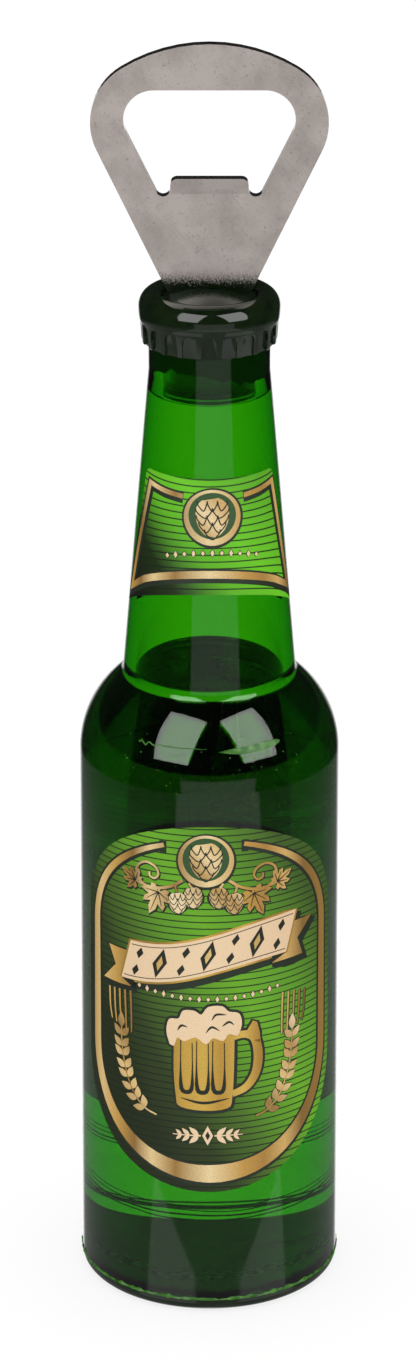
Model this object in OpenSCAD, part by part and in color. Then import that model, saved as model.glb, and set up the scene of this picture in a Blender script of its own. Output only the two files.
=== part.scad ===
// Souvenir bottle opener: a small green lager bottle, part filled with clear oil, whose moulded
// crown cap carries a stamped steel opener plate. Millimetres. The origin is the centre of the
// foot, +Z runs up the bottle and the front labels face -Y.

/* [Bottle] */
// Outer diameter at the foot
foot_d = 46.1; // [40:0.1:60]
// Outer diameter where the shoulder starts to turn in
body_d = 45.4; // [40:0.1:60]
// Height at which the shoulder starts to turn in
shoulder_z = 100; // [80:0.5:130]
// Radius of the shoulder's arc
shoulder_r = 18; // [15:0.5:19]
// Radius of the hollow where the shoulder runs into the neck
root_fillet = 1.6; // [0.8:0.1:3]
// Outer diameter of the neck where it leaves the shoulder
neck_root_d = 30.2; // [27:0.1:33]
// Outer diameter of the straight top of the neck
neck_top_d = 20.8; // [19:0.1:26]
// Length of the neck's tapering part
neck_cone_len = 55.3; // [40:0.1:70]
// Length of the neck's straight top, most of it inside the cap
neck_top_len = 10.2; // [8.5:0.1:14]
// Wall thickness of the moulded bottle
wall = 2.2; // [1.4:0.1:2.6]

/* [Base disc] */
// Thickness of the disc that closes the bottom
base_t = 2.4; // [2:0.1:4]
// Radius of the disc's rounded lower edge
base_edge_r = 1.9; // [0.6:0.1:2]
// Height of the spigot that locates the disc in the bottle
spigot_h = 1.6; // [0.8:0.1:4]
// Width of the spigot's ring
spigot_w = 2; // [1.2:0.1:4]
// Width of the ring that the bottle stands on
foot_ring_w = 5; // [3:0.5:8]
// Depth of the hollow inside that ring
foot_hollow = 0.6; // [0.3:0.1:0.9]
// Height of the glue bead squeezed out at the seam
bead_h = 0.9; // [0.4:0.1:1.6]
// How far the glue bead stands proud of the wall
bead_proud = 0.22; // [0.1:0.02:0.4]

/* [Liquid] */
// Height of the liquid's surface above the start of the neck
fill_over_root = 0.4; // [-4:0.1:20]

/* [Crown cap] */
// Thickness of the skirt at its lower edge
skirt_t = 1.1; // [1:0.05:2]
// How far the rolled rim stands out past the skirt's lower edge
roll_out = 0.55; // [0.3:0.05:1.5]
// Height of the skirt below the neck's rim
skirt_h = 5.4; // [4.6:0.1:8]
// Height of the rim's crest above the neck's rim
crest_h = 3.5; // [2.6:0.1:6]
// Distance from the widest line in to the crest
crest_in = 2.6; // [1.5:0.1:3]
// Height of the widest line above the neck's rim
roll_h = 0.8; // [0.4:0.1:1.2]
// How far the cap's top reaches inward over the neck's bore
mouth_lip = 0.2; // [0.1:0.05:1]
// Height of that opening's edge above the neck's rim
mouth_edge_h = 2.4; // [1.6:0.1:3]
// Number of flutes round the skirt
flutes = 21; // [15:1:24]
// Width of a flute
flute_w = 2.5; // [1.6:0.1:2.9]
// Height of a flute, with its round top
flute_h = 3.9; // [2.4:0.1:4.3]
// Depth of a flute
flute_depth = 0.45; // [0.2:0.05:0.7]

/* [Stopper] */
// Depth to which the stopper reaches below the neck's rim
stopper_len = 14.4; // [12:0.1:20]
// Thickness of the stopper's floor
stopper_floor = 3; // [2:0.1:4]
// Thickness of the stopper's wall
stopper_wall = 1.15; // [0.9:0.05:1.3]
// Cord diameter of the seal ring
seal_d = 1.3; // [1:0.1:1.4]
// Height of the seal ring above the stopper's lower end
seal_z = 1.4; // [1.2:0.1:2]
// Height of the resin's domed top above the neck's rim
dome_h = 4; // [3:0.1:5]

/* [Opener plate] */
// Thickness of the steel
plate_t = 2; // [1.5:0.1:2.5]
// Overall width of the plate
plate_w = 40; // [38:0.5:48]
// Height of the plate above the resin
plate_h = 42.4; // [41:0.2:50]
// Radius of the arc across the top
top_arc_r = 28; // [25:0.5:34]
// Radius of the outer corners
corner_r = 11; // [9:0.5:12]
// Resin left between the edge of the plate and the edge of the cap's opening
foot_gap = 0.6; // [0.3:0.1:2]
// Width of the steel above the mouth
band_w = 7.9; // [6:0.1:9]
// Widest inside width of the mouth, which has to clear a crimped crown cap
jaw_w = 28.9; // [28.7:0.1:32]
// Radius of the mouth's upper corners
jaw_corner_r = 5.1; // [4:0.1:6]
// Distance from the tooth's tip to the steel above it
jaw_gap = 15.2; // [14:0.1:17]
// Width of the tooth that hooks under a cap
tooth_w = 13.2; // [11:0.1:14]
// Height of the tooth above its bend
tooth_h = 2.7; // [2:0.1:3.6]
// Forward lean of the tooth, in degrees
tooth_lean = 9; // [0:0.5:14]
// Radius of the two round notches beside the tooth
notch_r = 1.2; // [0.9:0.1:1.5]
// Resin left between the edge of the tang and the stopper's wall
tang_gap = 0.8; // [0.4:0.1:2.5]
// Diameter of the hole that the resin locks into
key_d = 4; // [2.5:0.1:5]

/* [Labels] */
// Thickness of a printed label
label_t = 0.12; // [0.08:0.01:0.2]
// Angle that the body label wraps round the bottle
body_label_wrap = 131; // [90:1:170]
// Height of the body label's lower edge above the seam
body_label_lift = 21.7; // [5:0.1:30]
// Bare wall between the body label's top and the start of the shoulder
body_label_drop = 5.8; // [1:0.1:20]
// Height of the label's arched top
body_label_top = 20; // [14:0.5:24]
// Height of the label's arched bottom
body_label_bottom = 23; // [16:0.5:26]
// Height of the neck label's lower corners above the start of the neck
neck_label_lift = 13.7; // [4:0.1:16]
// Bare wall between the neck label's top and the end of the neck's taper
neck_label_drop = 16.3; // [4:0.1:20]
// Angle that the neck label's top edge wraps round the neck
neck_label_top_wrap = 128; // [80:1:170]
// Angle that the neck label's lower edge wraps round the neck
neck_label_bottom_wrap = 163; // [80:1:170]
// Rise of the neck label's arched lower edge
neck_label_arch = 5; // [0:0.1:7]
// Height of the neck label's rounded top corners
neck_label_corner = 1.3; // [0.5:0.1:2]

/* [Hidden] */
$fn = 96;

// clearances, and how far one shape runs past another
slip = 0.05;  // between a piece and the bore or the neck that it sits in or on
film = 0.02;  // between a poured piece and the walls that hold it
over = 1;     // how far a cutting shape runs past what it cuts
sink = 0.01;  // how far two halves of one piece run into each other

bottle_green = [0.05, 0.42, 0.06];
cap_green = [0.03, 0.07, 0.03];
steel = [0.68, 0.66, 0.65];

// bottle: radii and heights that follow from the sizes above
foot_r = foot_d / 2;
body_r = body_d / 2;
neck_root_r = neck_root_d / 2;
neck_top_r = neck_top_d / 2;
arc_x = body_r - shoulder_r;
root_z = shoulder_z + sqrt(pow(shoulder_r, 2) - pow(neck_root_r - arc_x, 2));
cone_top_z = root_z + neck_cone_len;
rim_z = cone_top_z + neck_top_len;
neck_bore_r = neck_top_r - wall;
mouth_r = neck_bore_r - mouth_lip;
grip_r = neck_top_r + slip;
skirt_r = grip_r + skirt_t;
cap_r = skirt_r + roll_out;
fill_z = root_z + fill_over_root;
cone_angle = atan((neck_root_r - neck_top_r) / neck_cone_len);
body_angle = atan((foot_r - body_r) / (shoulder_z - base_t));

// outer radius of the bottle's wall and of its neck at height z
function body_radius(z) = foot_r - (z - base_t) * tan(body_angle);
function neck_radius(z) = neck_root_r - (z - root_z) * tan(cone_angle);

// Centre [x, z] of the hollow's circle for a profile that lies `inset` inside the outer one:
// it touches the neck's line and the shoulder's arc.
function hollow_r(inset) = root_fillet + inset;
function hollow_centre(inset) =
    let (normal = [cos(cone_angle), sin(cone_angle)],
         along = [-sin(cone_angle), cos(cone_angle)],
         start = [neck_root_r, root_z] + normal * root_fillet,
         to_start = start - [arc_x, shoulder_z],
         b = to_start * along,
         c = to_start * to_start - pow(shoulder_r + root_fillet, 2))
    start + along * (-b + sqrt(b * b - c));

// Half profile of the bottle's surface, `inset` inside the outer one, from z0 to z1.
module bottle_profile(inset, z0, z1) {
    centre = hollow_centre(inset);
    normal = [cos(cone_angle), sin(cone_angle)];
    on_neck = centre - normal * hollow_r(inset);
    to_arc = [arc_x, shoulder_z] - centre;
    on_arc = centre + to_arc / norm(to_arc) * hollow_r(inset);
    intersection() {
        translate([0, z0]) square([foot_d, z1 - z0]);
        union() {
            polygon([[0, 0], [body_radius(0) - inset, 0], [body_r - inset, shoulder_z], [0, shoulder_z]]);
            intersection() {
                translate([arc_x, shoulder_z]) circle(r = shoulder_r - inset, $fn = 180);
                translate([0, shoulder_z - over])
                    square([body_d, on_arc[1] - shoulder_z + over]);
            }
            difference() {
                polygon([[0, on_arc[1] - over], [on_arc[0] - over, on_arc[1] - over],
                         on_arc, centre, on_neck, [0, on_neck[1]]]);
                translate(centre) circle(r = hollow_r(inset));
            }
            polygon([[0, on_neck[1] - over], [on_neck[0] - over, on_neck[1] - over], on_neck,
                     [neck_top_r - inset, cone_top_z], [neck_top_r - inset, rim_z], [0, rim_z]]);
        }
    }
}

// A ring turned about Z between radii r0 and r1 and heights z0 and z1.
module ring(r0, r1, z0, z1) {
    rotate_extrude($fn = 180) translate([r0, z0]) square([r1 - r0, z1 - z0]);
}

// The bottle's moulded shell: open at the bottom, with a straight bore for the stopper in the neck.
module bottle_body() {
    color(bottle_green, 0.5) difference() {
        rotate_extrude($fn = 180) bottle_profile(0, base_t, rim_z);
        rotate_extrude($fn = 180) bottle_profile(wall, base_t - over, stopper_z);
        translate([0, 0, stopper_z - sink]) cylinder(r = neck_bore_r, h = stopper_len + over);
    }
}

// The disc glued into the bottom, with a rounded lower edge and a shallow hollow under it.
spigot_r = body_radius(base_t + spigot_h) - wall - slip;
module base_disc() {
    color(cap_green) union() {
        rotate_extrude($fn = 180) difference() {
            union() {
                translate([0, base_edge_r]) square([foot_r, base_t - base_edge_r]);
                square([foot_r - base_edge_r, base_edge_r + sink]);
                translate([foot_r - base_edge_r, base_edge_r]) intersection() {
                    circle(r = base_edge_r);
                    translate([0, -base_edge_r]) square([base_edge_r, base_edge_r]);
                }
            }
            square([foot_r - base_edge_r - foot_ring_w, foot_hollow]);
        }
        ring(spigot_r - spigot_w, spigot_r, base_t - sink, base_t + spigot_h);
    }
}

// The bead of glue squeezed out round the seam between the bottle and its base disc.
module base_glue_bead() {
    top_z = base_t + bead_h;
    color(bottle_green) rotate_extrude($fn = 180)
        polygon([[foot_r, base_t], [foot_r + bead_proud, base_t + bead_h * 0.15],
                 [foot_r + bead_proud, base_t + bead_h * 0.35], [body_radius(top_z), top_z]]);
}

// The oil in the bottle, up to just above the start of the neck.
module liquid_fill() {
    color([0.2, 0.6, 0.2], 0.4) rotate_extrude($fn = 180) difference() {
        bottle_profile(wall + film, base_t + film, fill_z);
        translate([0, base_t]) square([spigot_r + film, spigot_h + film]);
    }
}

// The cup-shaped stopper in the neck's bore: it carries the seal ring and holds the resin.
stopper_z = rim_z - stopper_len;
stopper_r = neck_bore_r - slip;
module neck_stopper() {
    color(bottle_green, 0.6) difference() {
        translate([0, 0, stopper_z]) cylinder(r = stopper_r, h = stopper_len);
        translate([0, 0, stopper_z + stopper_floor])
            cylinder(r = stopper_r - stopper_wall, h = stopper_len);
        ring(neck_bore_r - seal_d + slip, neck_bore_r + over,
             stopper_z + seal_z - seal_d / 2 - slip, stopper_z + seal_z + seal_d / 2 + slip);
    }
}

// The rubber ring that seals the stopper in the bore.
module stopper_seal() {
    cord_r = seal_d / 2 - slip;
    color([0.08, 0.08, 0.08]) rotate_extrude($fn = 120)
        translate([neck_bore_r - slip / 2 - cord_r, stopper_z + seal_z]) circle(r = cord_r, $fn = 32);
}

// The dark resin poured round the tang, domed where it fills the cap's opening.
resin_r = mouth_r - film;
dome_rise = dome_h - mouth_edge_h;
dome_r = (pow(resin_r, 2) + pow(dome_rise, 2)) / (2 * dome_rise);
module tang_resin() {
    floor_z = stopper_z + stopper_floor + film;
    color(cap_green) difference() {
        union() {
            translate([0, 0, floor_z])
                cylinder(r = stopper_r - stopper_wall - film, h = rim_z + film - floor_z);
            translate([0, 0, rim_z + film]) cylinder(r = resin_r, h = mouth_edge_h - film);
            intersection() {
                translate([0, 0, rim_z + dome_h - dome_r]) sphere(r = dome_r, $fn = 180);
                translate([0, 0, rim_z + mouth_edge_h - sink]) cylinder(r = resin_r, h = dome_rise + over);
            }
        }
        difference() {
            flat_plate(plate_t + 2 * film,
                       both_sides(concat(tang_side(film), [[foot_half + film, foot_z + over]])));
            translate([0, plate_t, key_z]) rotate([90, 0, 0]) cylinder(d = key_d - 2 * film, h = 2 * plate_t);
        }
    }
}

// Section of the crown cap: a rolled rim over a skirt that grips the neck.
module cap_section() {
    crest_r = cap_r - crest_in;
    crest_rise = crest_h - roll_h;
    mouth_drop = crest_h - mouth_edge_h;
    outer = [for (a = [0:7.5:90]) [crest_r + crest_in * cos(a), rim_z + roll_h + crest_rise * sin(a)]];
    inner = [for (a = [82.5:-7.5:0])
        [crest_r - (crest_r - mouth_r) * cos(a), rim_z + mouth_edge_h + mouth_drop * sin(a)]];
    lower = [for (a = [0:10:90])
        [cap_r - roll_out * (1 - cos(a)) / 2, rim_z + roll_h - (roll_h + skirt_h - flute_h) * sin(a)]];
    polygon(concat(
        [for (i = [len(lower) - 1:-1:1]) lower[i]], outer, inner,
        [[mouth_r, rim_z], [grip_r, rim_z], [grip_r, rim_z - skirt_h], [skirt_r, rim_z - skirt_h]]));
}

// Outline of one flute: straight sides and a round top, standing on the skirt's lower edge.
module flute_outline() {
    straight = flute_h - flute_w / 2;
    translate([-flute_w / 2, -over]) square([flute_w, straight + over]);
    translate([0, straight]) circle(d = flute_w, $fn = 48);
}

// The moulded crown cap with its ring of flutes.
module crown_cap() {
    color(cap_green) difference() {
        rotate_extrude($fn = 180) cap_section();
        for (i = [0:flutes - 1])
            rotate([0, 0, 360 * i / flutes])
                translate([0, flute_depth - skirt_r, rim_z - skirt_h])
                    rotate([90, 0, 0]) linear_extrude(cap_r) flute_outline();
    }
}

// opener plate: heights and centres that follow from the sizes above
foot_z = rim_z + dome_h;
foot_half = mouth_r - foot_gap;
tang_half = stopper_r - stopper_wall - tang_gap;
plate_top_z = foot_z + plate_h;
corner_x = plate_w / 2 - corner_r;
corner_z = plate_top_z - top_arc_r + sqrt(pow(top_arc_r - corner_r, 2) - pow(corner_x, 2));
jaw_top_z = plate_top_z - band_w;
tooth_tip_z = jaw_top_z - jaw_gap;
bend_z = tooth_tip_z - tooth_h;
notch_x = tooth_w / 2 + notch_r;
notch_z = bend_z + notch_r * 0.6;
tang_end_z = stopper_z + stopper_floor + 1.5;
neckdown_z = rim_z + mouth_edge_h - 0.6;
key_z = (tang_end_z + neckdown_z) / 2;

// Where the line from point p touches a circle about c with radius r, on its +X side.
function touch(p, c, r) =
    let (d = c - p, heading = atan2(d[1], d[0]) - asin(r / norm(d)))
    p + sqrt(d * d - r * r) * [cos(heading), sin(heading)];

// Unit normal of the outer line that touches two circles on their +X side.
function shared_normal(c0, r0, c1, r1) =
    let (d = c1 - c0, heading = atan2(d[1], d[0]), turn = acos((r0 - r1) / norm(d)))
    [cos(heading - turn), sin(heading - turn)];

// Points on an arc about c from angle a0 to angle a1, about 6 degrees apart.
function arc(c, r, a0, a1) =
    let (n = max(2, ceil(abs(a1 - a0) / 6)))
    [for (i = [0:n]) c + r * [cos(a0 + (a1 - a0) * i / n), sin(a0 + (a1 - a0) * i / n)]];

// A closed outline from its right half, listed counterclockwise. Points on X = 0 are given apart, as `middle`.
function both_sides(right, middle = []) =
    concat(right, middle, [for (i = [len(right) - 1:-1:0]) [-right[i][0], right[i][1]]]);

// The right half of the tang, from its lower end up to where it leaves the resin, `gap` larger all round.
function tang_side(gap) =
    [[tang_half + gap, tang_end_z - gap], [tang_half + gap, neckdown_z], [foot_half + gap, foot_z]];

// The plate's outer outline, tang included.
function plate_outline() =
    let (corner = [corner_x, corner_z],
         arc_centre = [0, plate_top_z - top_arc_r],
         flank = touch([foot_half, foot_z], corner, corner_r) - corner,
         reach = corner - arc_centre,
         top_from = atan2(reach[1], reach[0]),
         top = arc(arc_centre, top_arc_r, top_from, 90))
    both_sides(concat(tang_side(0), arc(corner, corner_r, atan2(flank[1], flank[0]), top_from),
                      [for (i = [1:len(top) - 2]) top[i]]),
               [[0, plate_top_z]]);

// The mouth without its tooth: round upper corners, slanted sides and a round notch on each side.
function mouth_outline() =
    let (corner = [jaw_w / 2 - jaw_corner_r, jaw_top_z - jaw_corner_r],
         notch = [notch_x, notch_z],
         normal = shared_normal(notch, notch_r, corner, jaw_corner_r),
         slant = atan2(normal[1], normal[0]))
    both_sides(concat([[tooth_w / 2, bend_z]], arc(notch, notch_r, -180, slant),
                      arc(corner, jaw_corner_r, slant, 90)));

// A plate of outline [x, z] and thickness t, centred on Y = 0.
module flat_plate(t, outline) {
    rotate([90, 0, 0]) translate([0, 0, -t / 2]) linear_extrude(t) polygon(outline);
}

// The tooth, which leans forward from its bend line.
module tooth() {
    tip_r = 1.2;
    lean = tooth_h * tan(tooth_lean);
    half_t = plate_t / 2;
    intersection() {
        flat_plate(plate_t + 2 * lean, both_sides(concat(
            [[tooth_w / 2, bend_z]], arc([tooth_w / 2 - tip_r, tooth_tip_z - tip_r], tip_r, 0, 90))));
        translate([-tooth_w / 2, 0, bend_z]) rotate([90, 0, 90]) linear_extrude(tooth_w)
            polygon([[-half_t, 0], [half_t, 0], [half_t - lean, tooth_h], [-half_t - lean, tooth_h]]);
    }
}

// The stamped steel plate with its mouth, tooth and tang.
module opener_plate() {
    color(steel) union() {
        difference() {
            flat_plate(plate_t, plate_outline());
            flat_plate(plate_t + 2 * over, mouth_outline());
            translate([0, plate_t, key_z]) rotate([90, 0, 0]) cylinder(d = key_d, h = 2 * plate_t);
        }
        tooth();
    }
}

// A thin skin on the bottle's wall over the heights z0 to z1, where its surface is a cone.
module wall_skin(r0, z0, r1, z1) {
    rotate_extrude($fn = 180) polygon([[r0, z0], [r0 + label_t, z0], [r1 + label_t, z1], [r1, z1]]);
}

// What lies in front of an outline [x, z], between the bottle's axis and well past its wall.
module in_front(outline) {
    rotate([90, 0, 0]) linear_extrude(foot_d) polygon(outline);
}

// A printed label on the front of the body: straight sides between an arched top and an arched bottom.
module body_label() {
    low_z = base_t + body_label_lift;
    top_z = shoulder_z - body_label_drop;
    half = body_label_wrap / 2;
    under = [for (a = [-84:6:0]) [half * cos(a), low_z + body_label_bottom * (1 + sin(a))]];
    upper = [for (a = [0:6:84]) [half * cos(a), top_z - body_label_top * (1 - sin(a))]];
    right = [for (p = concat(under, upper)) [body_radius(p[1]) * sin(p[0]), p[1]]];
    color([0.25, 0.5, 0.12]) intersection() {
        wall_skin(body_radius(low_z), low_z, body_radius(top_z), top_z);
        in_front(both_sides(right));
    }
}

// The same label on the back of the body, which shows through the oil.
module back_label() {
    mirror([0, 1, 0]) body_label();
}

// The printed label on the neck: a level top, slanted sides and an arched lower edge.
module neck_label() {
    low_z = root_z + neck_label_lift;
    top_z = cone_top_z - neck_label_drop;
    side_z = top_z - neck_label_corner;
    top_half = neck_label_top_wrap / 2;
    low_half = neck_label_bottom_wrap / 2;
    corner_wrap = neck_label_corner / neck_radius(top_z) * 180 / PI;
    arch = [for (t = [0.05:0.05:1]) [low_half * t, low_z + neck_label_arch * (1 - t * t)]];
    side = [for (t = [0.9:-0.1:0]) [top_half + (low_half - top_half) * t, side_z + (low_z - side_z) * t]];
    corner = [for (a = [15:15:90])
        [top_half - corner_wrap * (1 - cos(a)), side_z + neck_label_corner * sin(a)]];
    right = [for (p = concat(arch, side, corner)) [neck_radius(p[1]) * sin(p[0]), p[1]]];
    color([0.25, 0.5, 0.12]) intersection() {
        wall_skin(neck_radius(low_z), low_z, neck_radius(top_z), top_z);
        in_front(both_sides(right));
    }
}

bottle_body();
base_disc();
base_glue_bead();
liquid_fill();
neck_stopper();
stopper_seal();
tang_resin();
crown_cap();
opener_plate();
body_label();
back_label();
neck_label();
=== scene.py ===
"""Souvenir bottle opener: the looks of a small green bottle with a steel cap lifter in its crown cap.

Everything is modelled in millimetres, in the frame of the CAD model, and scaled to metres as each
piece is finished. The bottle stands at the origin, +Z runs up it and its labels face -Y.
"""

import logging
import math
from dataclasses import dataclass, field, replace
from enum import Enum
from typing import Callable

import bmesh
import bpy
from mathutils import Matrix, Vector, noise


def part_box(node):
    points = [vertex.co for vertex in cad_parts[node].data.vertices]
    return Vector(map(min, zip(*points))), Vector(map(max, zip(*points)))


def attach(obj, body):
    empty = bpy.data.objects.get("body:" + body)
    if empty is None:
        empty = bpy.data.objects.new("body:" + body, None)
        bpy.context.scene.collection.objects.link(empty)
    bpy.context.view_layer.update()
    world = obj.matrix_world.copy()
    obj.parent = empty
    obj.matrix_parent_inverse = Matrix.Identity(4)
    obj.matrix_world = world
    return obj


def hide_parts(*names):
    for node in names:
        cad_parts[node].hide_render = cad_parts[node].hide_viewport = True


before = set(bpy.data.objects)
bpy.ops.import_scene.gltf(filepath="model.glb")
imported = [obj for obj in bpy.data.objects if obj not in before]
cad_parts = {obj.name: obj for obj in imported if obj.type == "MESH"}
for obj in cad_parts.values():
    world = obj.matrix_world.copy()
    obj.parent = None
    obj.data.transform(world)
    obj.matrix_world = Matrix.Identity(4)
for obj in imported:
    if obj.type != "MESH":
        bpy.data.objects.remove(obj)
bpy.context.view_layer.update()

log = logging.getLogger("souvenir_opener")

MM = 0.001
BODY = "root"
Point = tuple[float, float]
# millimetres: the gap under which two points are one, and the clearance of a sliding fit, which is
# also how far touching solids run into each other
WELD = 0.0005
HAIR = 0.05


# ------------------------------------------------------------------ shader helpers


def linear(code: str) -> tuple[float, float, float, float]:
    """Turns an sRGB hex colour into the linear colour that shaders use.

    Args:
        code: six hex digits after a hash.

    Returns:
        Linear red, green, blue and an alpha of one.
    """
    channels = [int(code[i : i + 2], 16) / 255 for i in (1, 3, 5)]
    flat = [c / 12.92 if c <= 0.04045 else ((c + 0.055) / 1.055) ** 2.4 for c in channels]
    return (flat[0], flat[1], flat[2], 1.0)


def add_node(tree: bpy.types.NodeTree, kind: str, settings: dict | None = None,
             links: dict | None = None) -> bpy.types.Node:
    """Adds a shader node, sets it up and links its inputs.

    Args:
        tree: the node tree that takes the node.
        kind: the node's type name without its ShaderNode prefix.
        settings: values by property or input; "stops" lists a ramp's places and hex colours.
        links: input name or index to the output socket that feeds it.

    Returns:
        The new node.
    """
    node = tree.nodes.new("ShaderNode" + kind)
    for name, value in (settings or {}).items():
        if name == "stops":
            elements = node.color_ramp.elements
            while len(elements) < len(value):
                elements.new(1.0)
            for element, (place, code) in zip(elements, value):
                element.position = place
                element.color = linear(code)
        elif isinstance(name, int) or name in node.inputs:
            node.inputs[name].default_value = value
        else:
            setattr(node, name, value)
    for name, source in (links or {}).items():
        tree.links.new(source, node.inputs[name])
    return node


def new_tree(name: str) -> tuple[bpy.types.Material, bpy.types.NodeTree]:
    """Makes a material with an empty node tree.

    Args:
        name: the material's name.

    Returns:
        The material and its node tree.
    """
    material = bpy.data.materials.new(name)
    material.use_nodes = True
    material.node_tree.nodes.clear()
    return material, material.node_tree


def thin_surface(tree: bpy.types.NodeTree, tone: bpy.types.NodeSocket, roughness: float,
                 see_through: float) -> None:
    """Ends a material whose colour also tints the light that comes through it.

    Args:
        tree: the material's node tree.
        tone: the socket that gives its colour.
        roughness: its roughness.
        see_through: the share of the light that comes through.
    """
    shader = add_node(tree, "BsdfPrincipled", {"Roughness": roughness}, {"Base Color": tone})
    through = add_node(tree, "BsdfTranslucent", links={"Color": tone})
    both = add_node(tree, "MixShader", {0: see_through}, {1: shader.outputs[0], 2: through.outputs[0]})
    add_node(tree, "OutputMaterial", links={"Surface": both.outputs[0]})


# ------------------------------------------------------------------ modelling helpers


def deselect() -> None:
    """Leaves edit mode and deselects every object."""
    if bpy.context.object is not None and bpy.context.object.mode != "OBJECT":
        bpy.ops.object.mode_set(mode="OBJECT")
    bpy.ops.object.select_all(action="DESELECT")


def make_active(piece: bpy.types.Object) -> None:
    """Makes a piece the only selected object and the active one.

    Args:
        piece: the object.
    """
    deselect()
    piece.select_set(True)
    bpy.context.view_layer.objects.active = piece


def edit(piece: bpy.types.Object) -> bmesh.types.BMesh:
    """Enters edit mode on a piece, with all of it selected.

    Args:
        piece: the mesh object to edit.

    Returns:
        The edit mesh.
    """
    make_active(piece)
    bpy.ops.object.mode_set(mode="EDIT")
    bpy.ops.mesh.select_mode(type="VERT")
    bpy.ops.mesh.select_all(action="SELECT")
    return bmesh.from_edit_mesh(piece.data)


def arc(centre: Point, radius: float, start: float, end: float, step: float = 4.0) -> list[Point]:
    """Points along an arc.

    Args:
        centre: the arc's centre.
        radius: its radius.
        start: the first point's angle in degrees.
        end: the last point's angle in degrees.
        step: the largest angle between two points.

    Returns:
        The points, both ends among them.
    """
    count = max(2, math.ceil(abs(end - start) / step))
    turns = [math.radians(start + (end - start) * i / count) for i in range(count + 1)]
    return [(centre[0] + radius * math.cos(t), centre[1] + radius * math.sin(t)) for t in turns]


def smooth(piece: bpy.types.Object, angle: float) -> None:
    """Shades a piece smooth except across edges sharper than an angle in degrees."""
    make_active(piece)
    bpy.ops.object.shade_smooth_by_angle(angle=math.radians(angle))


def lathe(name: str, profile: list[Point], steps: int = 192,
          angle: float | None = 35.0) -> bpy.types.Object:
    """Spins a half profile once round Z.

    Args:
        name: the new object's name.
        profile: points of radius and height in millimetres, in order along the section. A section
            that isn't closed on itself starts and ends on the axis.
        steps: how many faces go round.
        angle: edges sharper than this many degrees stay sharp; with none the piece isn't smoothed yet.

    Returns:
        The object, in millimetres, with its normals outwards.
    """
    deselect()
    bpy.ops.mesh.primitive_plane_add(size=1)
    piece = bpy.context.object
    piece.name = name
    edit(piece)
    bpy.ops.mesh.merge(type="CENTER")
    bpy.ops.transform.translate(value=(profile[0][0], 0, profile[0][1]))
    for (r0, z0), (r1, z1) in zip(profile, profile[1:]):
        bpy.ops.mesh.extrude_vertices_move(TRANSFORM_OT_translate={"value": (r1 - r0, 0, z1 - z0)})
    bpy.ops.mesh.select_all(action="SELECT")
    bpy.ops.mesh.spin(steps=steps, angle=math.tau, center=(0, 0, 0), axis=(0, 0, 1))
    bpy.ops.mesh.select_all(action="SELECT")
    bpy.ops.mesh.remove_doubles(threshold=WELD)
    bpy.ops.mesh.normals_make_consistent(inside=False)
    bpy.ops.object.mode_set(mode="OBJECT")
    if angle is not None:
        smooth(piece, angle)
    return piece


def round_edges(piece: bpy.types.Object, width: float, segments: int, keep_normals: bool = False) -> None:
    """Rounds a piece's sharp edges.

    Args:
        piece: the piece, in millimetres.
        width: how far the rounding reaches from an edge.
        segments: how many facets it has.
        keep_normals: whether the faces beside it are shaded flat up to it.
    """
    make_active(piece)
    bevel = piece.modifiers.new("edges", "BEVEL")
    bevel.width, bevel.segments = width, segments
    bevel.limit_method, bevel.angle_limit = "ANGLE", math.radians(40)
    bevel.harden_normals = keep_normals
    bpy.ops.object.modifier_apply(modifier="edges")


def ragged(piece: bpy.types.Object, beyond: float, out: float, up: float, wave: float,
           foot_h: float = 0.15) -> None:
    """Makes a ring uneven, as if it were laid by hand.

    Args:
        piece: the ring, in millimetres.
        beyond: only vertices further out than this are moved outwards.
        out: how far they move out or in at most.
        up: how far a vertex moves up or down at most.
        wave: the length of the unevenness.
        foot_h: how much of a ring's foot stays down, if the ring is also moved outwards.
    """
    held = min(v.co.z for v in piece.data.vertices) + foot_h if out else -math.inf
    for vertex in piece.data.vertices:
        x, y, z = vertex.co
        r = math.hypot(x, y)
        lump = noise.noise(Vector((x, y, 0.0)) / wave)
        if out and r > beyond:
            vertex.co.x, vertex.co.y = x * (1 + lump * out / r), y * (1 + lump * out / r)
        if z > held:
            vertex.co.z = z + lump * up


def finish_piece(piece: bpy.types.Object, material: bpy.types.Material,
                 stands_for: str | None = None) -> None:
    """Scales a piece to metres, dresses it and hands it to the frame.

    Args:
        piece: the piece, in millimetres.
        material: its finish.
        stands_for: the CAD node that it replaces, if it replaces one.
    """
    deselect()
    piece.data.transform(Matrix.Scale(MM, 4))
    piece.data.materials.clear()
    piece.data.materials.append(material)
    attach(piece, BODY)
    if stands_for is not None:
        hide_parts(stands_for)
    log.info("%s: %d faces, %s", piece.name, len(piece.data.polygons), material.name)


# ------------------------------------------------------------------ finishes


@dataclass(frozen=True)
class ClearStuff:
    """Something clear and smooth, whose colour deepens with the way that light travels in it."""

    name: str
    ior: float
    absorption: str
    density: float

    def build(self) -> bpy.types.Material:
        """Makes the material.

        Returns:
            The material.
        """
        material, tree = new_tree(self.name)
        shader = add_node(tree, "BsdfPrincipled", {
            "Base Color": (1, 1, 1, 1), "Transmission Weight": 1.0, "IOR": self.ior, "Roughness": 0.0})
        volume = add_node(tree, "VolumeAbsorption", {
            "Color": linear(self.absorption), "Density": self.density})
        add_node(tree, "OutputMaterial", links={
            "Surface": shader.outputs["BSDF"], "Volume": volume.outputs["Volume"]})
        return material


@dataclass(frozen=True)
class ClearPlastic(ClearStuff):
    """Clear bottle-green polystyrene, injection moulded and polished: darkest where it is seen edge on."""

    name: str = "bottle_green_polystyrene"
    ior: float = 1.5
    absorption: str = "#B4EA00"
    density: float = 1520.0


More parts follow.
